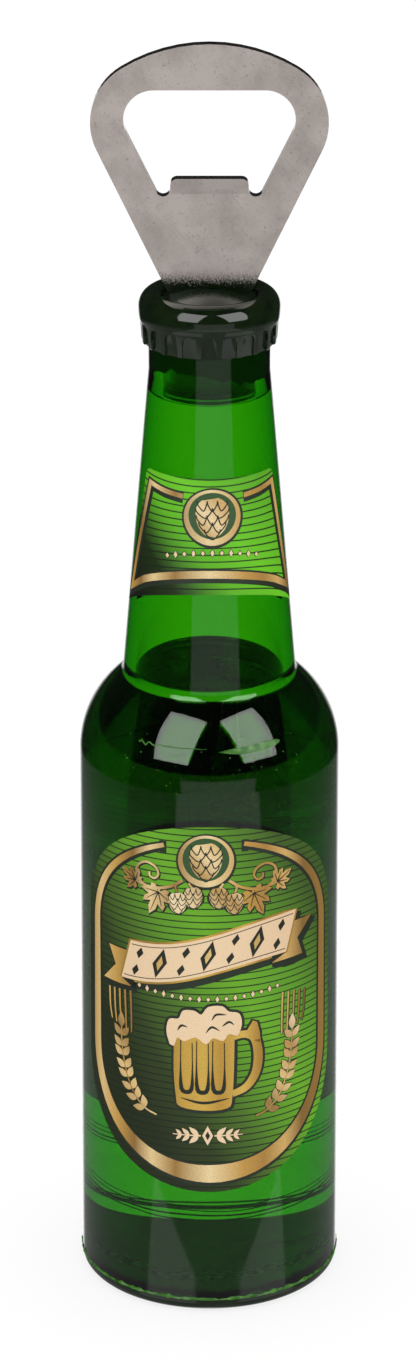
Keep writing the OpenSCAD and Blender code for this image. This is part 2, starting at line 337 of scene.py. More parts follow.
@dataclass(frozen=True)
class ClearOil(ClearStuff):
    """Clear mineral oil: colourless, a little less refracting than the plastic round it."""

    name: str = "clear_mineral_oil"
    ior: float = 1.46
    absorption: str = "#F4FFE6"
    density: float = 6.0


@dataclass(frozen=True)
class MouldedDark:
    """Dark green plastic, moulded thick and glossy: near black, with faint flow marks in its gloss."""

    name: str = "dark_green_moulded_polystyrene"
    colour: str = "#0C170A"
    streak: str = "#16240F"
    roughness: float = 0.07
    flow_mm: float = 3.0

    def build(self) -> bpy.types.Material:
        """Makes the material.

        Returns:
            The material.
        """
        material, tree = new_tree(self.name)
        place = add_node(tree, "TexCoord").outputs["Object"]
        flow = add_node(tree, "TexNoise", {"Scale": 1 / (self.flow_mm * MM), "Detail": 3.0},
                        {"Vector": place}).outputs["Fac"]
        tone = add_node(tree, "ValToRGB", {"stops": [(0.35, self.colour), (0.75, self.streak)]},
                        {"Fac": flow}).outputs["Color"]
        gloss = add_node(tree, "MapRange", {
            "From Min": 0.3, "From Max": 0.7, "To Min": self.roughness * 0.6,
            "To Max": self.roughness * 1.5}, {"Value": flow}).outputs["Result"]
        shader = add_node(tree, "BsdfPrincipled", {"IOR": 1.5}, {"Base Color": tone, "Roughness": gloss})
        add_node(tree, "OutputMaterial", links={"Surface": shader.outputs["BSDF"]})
        return material


@dataclass(frozen=True)
class CuredGlue:
    """Cured solvent glue: clear green plastic gone cloudy, so that it scatters the light it lets through."""

    name: str = "cloudy_cured_glue"
    colour: str = "#35801A"
    streak: str = "#74B850"
    streak_mm: float = 1.5
    roughness: float = 0.25
    see_through: float = 0.45

    def build(self) -> bpy.types.Material:
        """Makes the material.

        Returns:
            The material.
        """
        material, tree = new_tree(self.name)
        place = add_node(tree, "TexCoord").outputs["Object"]
        cloud = add_node(tree, "TexNoise", {"Scale": 1 / (self.streak_mm * MM), "Detail": 3.0},
                         {"Vector": place}).outputs["Fac"]
        tone = add_node(tree, "ValToRGB", {"stops": [(0.38, self.colour), (0.68, self.streak)]},
                        {"Fac": cloud}).outputs["Color"]
        thin_surface(tree, tone, self.roughness, self.see_through)
        return material


@dataclass(frozen=True)
class Rubber:
    """Black nitrile rubber, moulded matt."""

    name: str = "black_nitrile_rubber"
    colour: str = "#10120F"
    grain_mm: float = 0.25

    def build(self) -> bpy.types.Material:
        """Makes the material.

        Returns:
            The material.
        """
        material, tree = new_tree(self.name)
        place = add_node(tree, "TexCoord").outputs["Object"]
        grain = add_node(tree, "TexNoise", {"Scale": 1 / (self.grain_mm * MM)},
                         {"Vector": place}).outputs["Fac"]
        gloss = add_node(tree, "MapRange", {"To Min": 0.4, "To Max": 0.6},
                         {"Value": grain}).outputs["Result"]
        shader = add_node(tree, "BsdfPrincipled", {"Base Color": linear(self.colour)}, {"Roughness": gloss})
        add_node(tree, "OutputMaterial", links={"Surface": shader.outputs["BSDF"]})
        return material


@dataclass(frozen=True)
class TumbledSteel:
    """Stamped stainless sheet after tumbling: soft grey, a fine mottle, pin-head pits and fine scratches.

    Low down, by the resin dome, the steel carries a broken band of dark green: a painted reflection of the
    dark dome, glossy and with no metal in it.
    """

    name: str = "tumbled_stainless_steel"
    colour: str = "#E6DBD5"
    dull: str = "#D2C7C0"
    pit: str = "#9A9089"
    roughness: float = 0.36
    mottle_mm: float = 7.0
    pit_mm: float = 0.4
    scratch_mm: float = 0.12
    scratch_stretch: float = 40.0
    scratch_turn: float = 52.0
    edge_roughness: float = 0.14
    # the dark green of the painted reflection of the resin dome, low on the plate
    creep: str = "#0A1806"
    dome_reflection_z: float = 185.7
    dome_reflection_fade: float = 1.9
    dome_reflection_wander: float = 5.0
    dome_reflection_mm: float = 0.3

    def build(self) -> bpy.types.Material:
        """Makes the material.

        Returns:
            The material.
        """
        material, tree = new_tree(self.name)
        place = add_node(tree, "TexCoord").outputs["Object"]
        cloud = add_node(tree, "TexNoise", {
            "Scale": 1 / (self.mottle_mm * MM), "Detail": 6.0, "Roughness": 0.65},
            {"Vector": place}).outputs["Fac"]
        tone = add_node(tree, "ValToRGB", {"stops": [(0.34, self.dull), (0.58, self.colour)]},
                        {"Fac": cloud}).outputs["Color"]
        marks = self.marks(tree, place)
        worn = add_node(tree, "Math", {"operation": "MULTIPLY", 1: 0.55}, {0: marks}).outputs["Value"]
        face = add_node(tree, "Mix", {"data_type": "RGBA", 7: linear(self.pit)},
                        {0: worn, 6: tone}).outputs[2]
        # painted reflection of the dark resin dome: below a ragged height the plate turns dark green, glossy
        # and not metallic
        height = add_node(tree, "SeparateXYZ", links={"Vector": place}).outputs["Z"]
        edge = add_node(tree, "TexNoise", {
            "Scale": 1 / (self.dome_reflection_mm * MM), "Detail": 4.0, "Roughness": 0.7},
            {"Vector": place}).outputs["Fac"]
        strayed = add_node(tree, "Math", {"operation": "MULTIPLY_ADD", 1: self.dome_reflection_wander * MM},
                           {0: edge, 2: height}).outputs["Value"]
        low = add_node(tree, "MapRange", {
            "From Min": (self.dome_reflection_z + 2 * self.dome_reflection_fade) * MM,
            "From Max": (self.dome_reflection_z + self.dome_reflection_fade) * MM}, {"Value": strayed}).outputs["Result"]
        dome_reflected = add_node(tree, "Mix", {"data_type": "RGBA", 7: linear(self.creep)},
                           {0: low, 6: face}).outputs[2]
        gloss = add_node(tree, "MapRange", {"To Min": self.roughness * 0.85, "To Max": self.roughness * 1.3},
                         {"Value": cloud}).outputs["Result"]
        # the sheared and rounded edges rubbed brighter than the faces, which look along Y
        facing = add_node(tree, "SeparateXYZ", links={
            "Vector": add_node(tree, "NewGeometry").outputs["Normal"]}).outputs["Y"]
        facing = add_node(tree, "Math", {"operation": "ABSOLUTE"}, {0: facing}).outputs[0]
        gloss = add_node(tree, "MapRange", {"From Min": 0.9, "From Max": 0.55, "To Max": self.edge_roughness},
                         {"Value": facing, "To Min": gloss}).outputs["Result"]
        gloss = add_node(tree, "MapRange", {"To Max": self.edge_roughness},
                         {"Value": low, "To Min": gloss}).outputs["Result"]
        relief = add_node(tree, "Math", {"operation": "MULTIPLY"}, {0: edge, 1: low}).outputs["Value"]
        relief = add_node(tree, "Math", {"operation": "MULTIPLY_ADD", 1: -6.0},
                          {0: relief, 2: marks}).outputs["Value"]
        bump = add_node(tree, "Bump", {"Strength": 0.3, "Distance": 0.02 * MM, "invert": True},
                        {"Height": relief})
        metal = add_node(tree, "Math", {"operation": "SUBTRACT", 0: 1.0}, {1: low}).outputs["Value"]
        shader = add_node(tree, "BsdfPrincipled", links={
            "Base Color": dome_reflected, "Metallic": metal, "Roughness": gloss, "Normal": bump.outputs["Normal"]})
        add_node(tree, "OutputMaterial", links={"Surface": shader.outputs["BSDF"]})
        return material

    def marks(self, tree: bpy.types.NodeTree, place: bpy.types.NodeSocket) -> bpy.types.NodeSocket:
        """Makes the pits and scratches.

        Args:
            tree: the material's node tree.
            place: the socket that gives the place on the piece.

        Returns:
            The socket that says how deep a mark is.
        """
        grit = add_node(tree, "TexNoise", {"Scale": 1 / (self.pit_mm * MM), "Detail": 2.0},
                        {"Vector": place}).outputs["Fac"]
        pits = add_node(tree, "MapRange", {"From Min": 0.62, "From Max": 0.74},
                        {"Value": grit}).outputs["Result"]
        turned = add_node(tree, "Mapping", {
            "vector_type": "TEXTURE", "Rotation": (0.0, math.radians(self.scratch_turn), 0.0),
            "Scale": (self.scratch_stretch, 1.0, 1.0)}, {"Vector": place}).outputs["Vector"]
        lines = add_node(tree, "TexNoise", {"Scale": 1 / (self.scratch_mm * MM), "Detail": 1.0},
                         {"Vector": turned}).outputs["Fac"]
        scratch = add_node(tree, "MapRange", {"From Min": 0.68, "From Max": 0.76, "To Max": 0.6},
                           {"Value": lines}).outputs["Result"]
        return add_node(tree, "Math", {"operation": "MAXIMUM"}, {0: pits, 1: scratch}).outputs["Value"]


# ------------------------------------------------------------------ the bottle and its contents


@dataclass
class BottleShape:
    """The bottle's outer and inner surfaces, in millimetres."""

    seam_z: float
    foot_r: float
    rim_z: float
    body_r: float = 22.7
    shoulder_z: float = 100.0
    shoulder_r: float = 18.0
    root_fillet: float = 1.6
    neck_root_r: float = 15.1
    neck_top_r: float = 10.4
    neck_top_len: float = 10.2
    wall: float = 2.2
    stopper_len: float = 14.4

    @property
    def arc_centre(self) -> Point:
        """Centre of the shoulder's arc."""
        return (self.body_r - self.shoulder_r, self.shoulder_z)

    @property
    def root_z(self) -> float:
        """Height at which the shoulder's arc meets the start of the neck."""
        reach = self.neck_root_r - self.arc_centre[0]
        return self.shoulder_z + math.sqrt(self.shoulder_r**2 - reach**2)

    @property
    def cone_top_z(self) -> float:
        """Height at which the neck's taper ends."""
        return self.rim_z - self.neck_top_len

    @property
    def bore_r(self) -> float:
        """Radius of the neck's bore."""
        return self.neck_top_r - self.wall

    @property
    def stopper_z(self) -> float:
        """Height of the stopper's lower end."""
        return self.rim_z - self.stopper_len

    def radius(self, z: float) -> float:
        """Outer radius of the wall, without the small hollow under the neck.

        Args:
            z: the height.

        Returns:
            The radius at that height.
        """
        if z < self.shoulder_z:
            share = (z - self.seam_z) / (self.shoulder_z - self.seam_z)
            return self.foot_r + (self.body_r - self.foot_r) * share
        if z < self.root_z:
            return self.arc_centre[0] + math.sqrt(self.shoulder_r**2 - (z - self.shoulder_z) ** 2)
        share = (z - self.root_z) / (self.cone_top_z - self.root_z)
        return self.neck_root_r + (self.neck_top_r - self.neck_root_r) * share

    def side(self, inset: float, top_z: float) -> list[Point]:
        """The wall's line from the shoulder's start up into the neck.

        Args:
            inset: how far the line lies inside the outer surface.
            top_z: the height at which the line ends, on the neck's taper.

        Returns:
            Points of radius and height, from the shoulder up.
        """
        cone = math.atan2(self.neck_root_r - self.neck_top_r, self.cone_top_z - self.root_z)
        normal = Vector((math.cos(cone), math.sin(cone)))
        along = Vector((-math.sin(cone), math.cos(cone)))
        start = Vector((self.neck_root_r, self.root_z)) + normal * self.root_fillet
        to_start = start - Vector(self.arc_centre)
        b = to_start.dot(along)
        c = to_start.length_squared - (self.shoulder_r + self.root_fillet) ** 2
        centre = start + along * (-b + math.sqrt(b * b - c))
        to_arc = Vector(self.arc_centre) - centre
        turn = math.degrees(math.atan2(to_arc.y, to_arc.x))
        shoulder = arc(self.arc_centre, self.shoulder_r - inset, 0, turn + 180, 2.0)
        hollow = arc(tuple(centre), self.root_fillet + inset, turn, math.degrees(cone) - 180, 6.0)
        return shoulder + hollow + [(self.radius(top_z) - inset, top_z)]


@dataclass
class Bottle:
    """The moulded bottle, the disc glued into its foot and the glue that holds it."""

    shape: BottleShape
    plastic: ClearPlastic = field(default_factory=ClearPlastic)
    dark: MouldedDark = field(default_factory=MouldedDark)
    glue: CuredGlue = field(default_factory=CuredGlue)
    rim_round: float = 0.35
    base_edge_r: float = 1.9
    spigot_h: float = 1.6
    spigot_w: float = 2.0
    spigot_chamfer: float = 0.3
    foot_ring_w: float = 5.0
    foot_hollow: float = 0.6
    bead_h: float = 0.5
    run_bite: float = 0.03
    run_rings: tuple[Point, ...] = ((6.4, 0.4), (7.3, 0.18))
    # dark rings low on the inner wall: painted shade standing in for the label's edges as the wall refracts
    # them
    refraction_shade_rings: tuple[Point, ...] = ((17.8, 0.12), (18.6, 0.16), (19.5, 0.1), (20.3, 0.09))

    def body(self) -> bpy.types.Object:
        """Models the shell: open below, with a straight bore for the stopper.

        Returns:
            The piece, in millimetres.
        """
        s = self.shape
        inner_r = s.radius(s.seam_z) - s.wall
        rim_in = arc((s.bore_r + self.rim_round, s.rim_z - self.rim_round), self.rim_round, 90, 180, 30)
        rim_out = arc((s.neck_top_r - self.rim_round, s.rim_z - self.rim_round), self.rim_round, 0, 90, 30)
        # the lower edge runs a hair into the disc, so that their faces don't lie in one plane
        foot_z = s.seam_z - HAIR
        inside = [(inner_r, foot_z)] + s.side(s.wall, s.stopper_z) + [(s.bore_r, s.stopper_z)]
        outside = [(s.foot_r - HAIR, foot_z), (s.foot_r, s.seam_z)] + s.side(0.0, s.cone_top_z - 0.5)
        outside += [(s.neck_top_r, s.cone_top_z)] + rim_out + rim_in
        return lathe("bottle_shell", outside + inside[::-1] + outside[:1])

    def disc(self) -> bpy.types.Object:
        """Models the base disc: a rounded edge, a foot ring, a shallow hollow and a locating spigot.

        Returns:
            The piece, in millimetres.
        """
        s = self.shape
        spigot_r = s.radius(s.seam_z + self.spigot_h) - s.wall - HAIR
        hollow_r = s.foot_r - self.base_edge_r - self.foot_ring_w
        under = arc((s.foot_r - self.base_edge_r, self.base_edge_r), self.base_edge_r, -90, 0, 10)
        top = s.seam_z + self.spigot_h
        profile = [(0, self.foot_hollow), (hollow_r - self.foot_hollow, self.foot_hollow), (hollow_r, 0)]
        profile += under + [
            (s.foot_r, s.seam_z), (spigot_r, s.seam_z), (spigot_r, top - self.spigot_chamfer),
            (spigot_r - self.spigot_chamfer, top), (spigot_r - self.spigot_w, top),
            (spigot_r - self.spigot_w, s.seam_z), (0, s.seam_z)]
        return lathe("foot_disc", profile)

    def bead(self) -> bpy.types.Object:
        """Models the glue squeezed out round the seam: a lumpy bead that thins out here and there.

        Returns:
            The piece, in millimetres.
        """
        s = self.shape
        top = s.seam_z + self.bead_h
        section = [(s.foot_r + out, s.seam_z + up) for out, up in (
            (-0.1, 0.0), (0.02, 0.0), (0.14, 0.1), (0.18, 0.22), (0.1, 0.36))] + [(s.radius(top) - HAIR, top)]
        piece = lathe("glue_bead", section + section[:1], 360, None)
        ragged(piece, beyond=s.foot_r - HAIR, out=0.22, up=0.5, wave=1.1)
        smooth(piece, 60)
        return piece

    def runs(self, name: str, levels: tuple[Point, ...], wander: float) -> bpy.types.Object:
        """Models rings on the bottle's inner wall, thinned and thickened by hand: runs of glue, and also dark
        rings that are painted shade for the label's refracted edges.

        Args:
            name: the piece's name.
            levels: each ring's height and the radius of its section.
            wander: how far a ring strays up and down.

        Returns:
            The piece, in millimetres.
        """
        s = self.shape
        inset = s.wall + self.run_bite
        rings = [lathe(f"{name}_{i}", arc((s.radius(z) - inset, z), r, 0, 360, 60), 240, None)
                 for i, (z, r) in enumerate(levels)]
        for i, ring in enumerate(rings):
            ragged(ring, beyond=0.0, out=0.0, up=wander, wave=6.0 + 2.0 * i)
        make_active(rings[0])
        for ring in rings:
            ring.select_set(True)
        bpy.ops.object.join()
        rings[0].name = name
        smooth(rings[0], 60)
        return rings[0]

    def build(self) -> None:
        """Models the pieces and dresses them."""
        plastic, dark, glue = self.plastic.build(), self.dark.build(), self.glue.build()
        finish_piece(self.body(), plastic, "bottle_body")
        finish_piece(self.disc(), dark, "base_disc")
        # the dark rings in the dark plastic are painted shade, not glue
        for piece, finish in ((self.bead(), glue), (self.runs("glue_run", self.run_rings, 0.7), glue),
                              (self.runs("painted_refraction_shade", self.refraction_shade_rings, 0.22), dark)):
            finish_piece(piece, finish, "base_glue_bead")


@dataclass
class Filling:
    """The oil, up to just above the start of the neck, with its edge drawn up the wall."""

    shape: BottleShape
    oil: ClearOil = field(default_factory=ClearOil)
    over_root: float = 0.4
    bite: float = 0.06
    meniscus: float = 0.8
    meniscus_w: float = 1.28

    def build(self) -> None:
        """Models the oil, which runs a hair into the wall so that no air shows between them."""
        s = self.shape
        inset = s.wall - self.bite
        surface_z = s.root_z + self.over_root
        low = s.seam_z - self.bite
        edge_z = surface_z + self.meniscus
        wall_line = [p for p in s.side(inset, edge_z + 4) if p[1] < edge_z]
        curve = [(s.radius(edge_z) - inset - self.meniscus_w * t, surface_z + self.meniscus * (1 - t) ** 2.4)
                 for t in (0, 0.12, 0.25, 0.4, 0.6, 0.8, 1.0)]
        profile = [(0, low), (s.radius(low) - inset, low)] + wall_line + curve + [(0, surface_z)]
        finish_piece(lathe("oil_fill", profile, angle=50), self.oil.build(), "liquid_fill")


@dataclass
class Closure:
    """What closes the neck: the stopper cup, its seal ring, the resin in and round it and the crown cap."""

    shape: BottleShape
    rubber: Rubber = field(default_factory=Rubber)
    stopper_wall: float = 1.15
    stopper_floor: float = 3.0
    resin_gap: float = 0.02
    seal_d: float = 1.3
    seal_z: float = 1.4
    creep_above: float = 4.2
    creep_t: float = 0.14
    creep_slant: float = 1.3
    creep_ripple: float = 0.8
    skirt_t: float = 1.1
    roll_out: float = 0.55
    skirt_h: float = 5.4
    crest_h: float = 3.5
    crest_in: float = 2.6
    roll_h: float = 0.8
    mouth_lip: float = 0.2
    mouth_edge_h: float = 2.4
    dome_h: float = 4.0
    flutes: int = 21
    flute_w: float = 2.5
    flute_h: float = 3.9
    flute_depth: float = 0.45
    flute_round: float = 0.2

    @property
    def skirt_r(self) -> float:
        """Outer radius of the skirt's lower edge."""
        return self.shape.neck_top_r + HAIR + self.skirt_t

    @property
    def cap_r(self) -> float:
        """Radius of the rolled rim at its widest."""
        return self.skirt_r + self.roll_out

    @property
    def mouth_r(self) -> float:
        """Radius of the opening in the cap's top."""
        return self.shape.bore_r - self.mouth_lip

    def stopper(self) -> bpy.types.Object:
        """Models the stopper: a cup with a groove for the seal.

        Returns:
            The piece, in millimetres.
        """
        s = self.shape
        r = s.bore_r - HAIR
        groove_r = s.bore_r - self.seal_d + HAIR
        low, high = (s.stopper_z + self.seal_z + k * self.seal_d / 2 for k in (-1, 1))
        floor_z = s.stopper_z + self.stopper_floor
        return lathe("stopper_cup", [
            (0, s.stopper_z), (r - 0.3, s.stopper_z), (r, s.stopper_z + 0.3), (r, low), (groove_r, low),
            (groove_r, high), (r, high), (r, s.rim_z), (r - self.stopper_wall, s.rim_z),
            (r - self.stopper_wall, floor_z), (0, floor_z)])

    def seal(self) -> bpy.types.Object:
        """Models the seal ring.

        Returns:
            The piece, in millimetres.
        """
        cord_r = self.seal_d / 2 - HAIR
        centre = (self.shape.bore_r - HAIR / 2 - cord_r, self.shape.stopper_z + self.seal_z)
        return lathe("seal_ring", arc(centre, cord_r, 0, 360, 15), 96, 60)

    def resin(self) -> bpy.types.Object:
        """Models the resin: it fills the stopper and stands in a low dome in the cap's opening.

        Returns:
            The piece, in millimetres.
        """
        s = self.shape
        gap = self.resin_gap
        cup_r = s.bore_r - HAIR - self.stopper_wall - gap
        floor_z = s.stopper_z + self.stopper_floor + gap
        edge_z = s.rim_z + self.mouth_edge_h
        rise = self.dome_h - self.mouth_edge_h
        dome_r = (self.mouth_r**2 + rise**2) / (2 * rise)
        span = math.degrees(math.asin(self.mouth_r / dome_r))
        dome = arc((0, edge_z + rise - dome_r), dome_r, 90 - span, 90, 2.5)
        return lathe("resin_fill", [(0, floor_z), (cup_r, floor_z), (cup_r, s.rim_z + gap),
                                    (self.mouth_r - gap, s.rim_z + gap)] + dome, 128)

    def creep(self) -> bpy.types.Object:
        """Models the film of resin that crept down between the stopper and the bore, with its ragged edge.

        Returns:
            The piece, in millimetres.
        """
        s = self.shape
        low, high = s.stopper_z + self.creep_above, s.rim_z - 0.3
        rings = [low + (high - low) * i / 8 for i in range(9)]
        section = [(s.bore_r - self.creep_t, z) for z in rings] + [(s.bore_r + HAIR, z) for z in rings[::-1]]
        piece = lathe("resin_creep", section + section[:1], 180, None)
        for vertex in piece.data.vertices:
            x, y, z = vertex.co
            # the unevenness dies out over the film's lowest 4 mm
            share = max(0.0, 1 - (z - low) / 4.0)
            slant = self.creep_slant * math.sin(math.atan2(y, x) * 2 - 0.6)
            ripple = self.creep_ripple * noise.noise(Vector((x, y, 0.0)) / 1.3)
            vertex.co.z = z + share * (slant + ripple)
        smooth(piece, 35)
        return piece

    def cap_section(self) -> list[Point]:
        """Works out the cap's half section: a rolled rim over a skirt.

        Returns:
            Its points of radius and height, the first one again at the end.
        """
        s = self.shape
        crest_r = self.cap_r - self.crest_in
        widest = s.rim_z + self.roll_h
        rise = self.crest_h - self.roll_h
        inner_w, inner_h = crest_r - self.mouth_r, self.crest_h - self.mouth_edge_h
        drop = self.roll_h + self.skirt_h - self.flute_h
        turns = [math.radians(a) for a in range(0, 91, 6)]
        outer = [(crest_r + self.crest_in * math.cos(a), widest + rise * math.sin(a)) for a in turns]
        inner = [(crest_r - inner_w * math.cos(a), s.rim_z + self.mouth_edge_h + inner_h * math.sin(a))
                 for a in turns[-2::-1]]
        lower = [(self.cap_r - self.roll_out * (1 - math.cos(a)) / 2, widest - drop * math.sin(a))
                 for a in turns]
        grip_r = s.neck_top_r + HAIR
        foot = s.rim_z - self.skirt_h
        skirt = [(grip_r, foot), (self.skirt_r - 0.15, foot), (self.skirt_r, foot + 0.15)]
        return skirt + lower[:0:-1] + outer + inner + [(self.mouth_r, s.rim_z), (grip_r, s.rim_z), skirt[0]]

    def flute_cutters(self) -> bpy.types.Object:
        """Models the tools that press the flutes: one round-topped bar for each flute.

        Returns:
            All of them in one mesh, in millimetres.
        """
        deselect()
        straight = self.flute_h - self.flute_w / 2
        outline = [(-self.flute_w / 2, -1.0)]
        outline += [(self.flute_w / 2, -1.0)] + arc((0, straight), self.flute_w / 2, 0, 180, 12)
        bpy.ops.mesh.primitive_circle_add(vertices=len(outline), fill_type="NGON")
        cutter = bpy.context.object
        mesh = edit(cutter)
        foot = self.shape.rim_z - self.skirt_h
        for vertex, (x, z) in zip(mesh.verts, outline):
            vertex.co = (x, self.flute_depth - self.skirt_r, foot + z)
        bmesh.update_edit_mesh(cutter.data)
        bpy.ops.mesh.extrude_region_move(TRANSFORM_OT_translate={"value": (0, -self.flute_depth - 3, 0)})
        bpy.ops.mesh.select_all(action="SELECT")
        bpy.ops.mesh.normals_make_consistent(inside=False)
        bpy.ops.object.mode_set(mode="OBJECT")
        first = cutter.data.copy()
        made = bmesh.new()
        for i in range(self.flutes):
            one = first.copy()
            one.transform(Matrix.Rotation(math.tau * i / self.flutes, 4, "Z"))
            made.from_mesh(one)
            bpy.data.meshes.remove(one)
        made.to_mesh(cutter.data)
        made.free()
        bpy.data.meshes.remove(first)
        return cutter

    def cap(self) -> bpy.types.Object:
        """Models the crown cap with its pressed flutes.

        Returns:
            The piece, in millimetres.
        """
        piece = lathe("crown_moulding", self.cap_section(), 252, None)
        cutter = self.flute_cutters()
        cut = piece.modifiers.new("flutes", "BOOLEAN")
        cut.object, cut.operation, cut.solver = cutter, "DIFFERENCE", "EXACT"
        make_active(piece)
        bpy.ops.object.modifier_apply(modifier="flutes")
        bpy.data.objects.remove(cutter)
        round_edges(piece, self.flute_round, 2)
        smooth(piece, 40)
        return piece

    def build(self, plastic: bpy.types.Material, dark: bpy.types.Material) -> None:
        """Models the pieces and dresses them.

        Args:
            plastic: the bottle's own clear plastic, which the stopper shares.
            dark: the dark plastic of the base disc, which the cap shares.
        """
        finish_piece(self.stopper(), plastic, "neck_stopper")
        finish_piece(self.seal(), self.rubber.build(), "stopper_seal")
        finish_piece(self.resin(), dark, "tang_resin")
        finish_piece(self.creep(), dark, "tang_resin")
        finish_piece(self.cap(), dark, "crown_cap")


@dataclass
class OpenerPlate:
    """The stamped plate: the CAD model's shape, with its sheared edges tumbled round."""

    steel: TumbledSteel = field(default_factory=TumbledSteel)
    edge_round: float = 0.3
    crease_area: float = 2.0

    def build(self) -> None:
        """Copies the plate, merges its faces, rounds its edges and dresses it."""
        deselect()
        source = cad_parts["opener_plate"]
        piece = bpy.data.objects.new("lifter_plate", source.data.copy())
        bpy.context.scene.collection.objects.link(piece)
        piece.data.transform(Matrix.Scale(1 / MM, 4))
        edit(piece)
        bpy.ops.mesh.remove_doubles(threshold=0.002)
        bpy.ops.mesh.dissolve_limited(angle_limit=math.radians(1))
        bpy.ops.object.mode_set(mode="OBJECT")
        smooth(piece, 50)
        round_edges(piece, self.edge_round, 3, keep_normals=True)
        # the creases of the tooth's bend lie between large faces and stay sharp
        made = bmesh.new()
        made.from_mesh(piece.data)
        for edge in made.edges:
            sides = edge.link_faces
            large = len(sides) == 2 and min(face.calc_area() for face in sides) > self.crease_area
            if large and edge.calc_face_angle() > 0.01:
                edge.smooth = False
        made.to_mesh(piece.data)
        made.free()
        finish_piece(piece, self.steel.build(), "opener_plate")


# ------------------------------------------------------------------ printed labels


PRINT_MAP = "print"
# millimetres: what one unit of the print map spans, how deep a label's pieces sit in the wall, and the
# reach from the middle at which the bow of the ruled lines is given
PRINT_SPAN = 200.0
FOOTING = 0.02
BOW_REACH = 20.0


def printed_tone(tree: bpy.types.NodeTree, stops: tuple[tuple[float, str], ...], shear: float,
                 centre_z: float = 0.0) -> tuple[bpy.types.NodeSocket, bpy.types.NodeSocket]:
    """Lays a gradient along a print.

    Args:
        tree: the material's node tree.
        stops: the gradient's colours, each at a number of millimetres along the print.
        shear: how many millimetres the gradient shifts for each one up the print.
        centre_z: the height at which it isn't shifted.

    Returns:
        The socket of the place on the print, in millimetres along and up, and that of the colour.
    """
    flat = add_node(tree, "UVMap", {"uv_map": PRINT_MAP}).outputs["UV"]
    place = add_node(tree, "Mapping", {"Scale": (PRINT_SPAN, PRINT_SPAN, 1.0)}, {"Vector": flat}).outputs[0]
    split = add_node(tree, "SeparateXYZ", links={"Vector": place})
    raised = add_node(tree, "Math", {"operation": "SUBTRACT", 1: centre_z},
                      {0: split.outputs["Y"]}).outputs[0]
    slanted = add_node(tree, "Math", {"operation": "MULTIPLY_ADD", 1: shear},
                       {0: raised, 2: split.outputs["X"]}).outputs[0]
    first, last = stops[0][0], stops[-1][0]
    along = add_node(tree, "MapRange", {"From Min": first, "From Max": last}, {"Value": slanted}).outputs[0]
    scaled = [((at - first) / (last - first), code) for at, code in stops]
    return place, add_node(tree, "ValToRGB", {"stops": scaled}, {"Fac": along}).outputs["Color"]


@dataclass(frozen=True)
class PrintInk:
    """Matt printing ink: a colour that runs across the print, broken by the fine grain of the screen."""

    name: str
    stops: tuple[tuple[float, str], ...]
    shear: float = 0.0
    grain: float = 0.12
    grain_mm: float = 0.3
    roughness: float = 0.5

    def build(self) -> bpy.types.Material:
        """Makes the material.

        Returns:
            The material.
        """
        material, tree = new_tree(self.name)
        place, tone = printed_tone(tree, self.stops, self.shear)
        speck = add_node(tree, "TexNoise", {"Scale": 1 / self.grain_mm, "Detail": 2.0},
                         {"Vector": place}).outputs[0]
        value = add_node(tree, "MapRange", {
            "From Min": 0.3, "From Max": 0.7, "To Min": 1 - self.grain, "To Max": 1 + self.grain},
            {"Value": speck}).outputs[0]
        inked = add_node(tree, "HueSaturation", links={"Color": tone, "Value": value}).outputs["Color"]
        shader = add_node(tree, "BsdfPrincipled", {"Roughness": self.roughness}, {"Base Color": inked})
        add_node(tree, "OutputMaterial", links={"Surface": shader.outputs["BSDF"]})
        return material


@dataclass(frozen=True)
class PrintedFilm:
    """Varnished polypropylene label: a slanting green gradient ruled with fine dark lines.

    The film is thin enough for light to come through it where nothing opaque is printed over it. Its
    lines sag or rise away from the middle: by bow_top millimetres at BOW_REACH at the height bow_z, and
    by bow_slope more for each millimetre below that.
    """

    name: str
    stops: tuple[tuple[float, str], ...]
    shear: float
    centre_z: float
    pitch: float
    line: float = 0.22
    line_edge: float = 0.06
    line_code: str = "#1E3014"
    bow_top: float = 0.0
    bow_slope: float = 0.0
    bow_z: float = 0.0
    see_through: float = 0.3
    roughness: float = 0.42

    def build(self) -> bpy.types.Material:
        """Makes the material.

        Returns:
            The material.
        """
        material, tree = new_tree(self.name)
        place, tone = printed_tone(tree, self.stops, self.shear, self.centre_z)
        split = add_node(tree, "SeparateXYZ", links={"Vector": place})
        u, z = split.outputs["X"], split.outputs["Y"]
        drop = add_node(tree, "Math", {"operation": "SUBTRACT", 0: self.bow_z}, {1: z}).outputs[0]
        bow = add_node(tree, "Math", {"operation": "MULTIPLY_ADD", 1: self.bow_slope, 2: self.bow_top},
                       {0: drop}).outputs[0]
        square = add_node(tree, "Math", {"operation": "MULTIPLY"}, {0: u, 1: u}).outputs[0]
        share = add_node(tree, "Math", {"operation": "MULTIPLY", 1: 1 / BOW_REACH**2}, {0: square}).outputs[0]
        level = add_node(tree, "Math", {"operation": "MULTIPLY_ADD"}, {0: bow, 1: share, 2: z}).outputs[0]
        saw = add_node(tree, "Math", {"operation": "PINGPONG", 1: self.pitch / 2}, {0: level}).outputs[0]
        ruled = add_node(tree, "MapRange", {
            "From Min": self.line / 2 + self.line_edge, "From Max": self.line / 2 - self.line_edge},
            {"Value": saw}).outputs[0]
        inked = add_node(tree, "Mix", {"data_type": "RGBA", 7: linear(self.line_code)},
                         {0: ruled, 6: tone}).outputs[2]
        thin_surface(tree, inked, self.roughness, self.see_through)
        return material


class Ink(Enum):
    """The layers of a label: the part of the piece's name and how far each stands proud, in millimetres."""

    FILM = ("film", 0.12)
    SHADOW = ("shadow_ink", 0.14)
    GOLD = ("gold_ink", 0.17)
    ROUNDEL = ("roundel_ink", 0.18)
    MUG = ("amber_ink", 0.185)
    CREAM = ("cream_ink", 0.20)
    TOP_GOLD = ("raised_gold_ink", 0.20)
    LINE = ("line_ink", 0.225)
    FOIL = ("lozenge_ink", 0.24)


class Side(Enum):
    """Which side of the bottle a label faces: the turn about Z, in degrees."""

    FRONT = 0.0
    BACK = 180.0


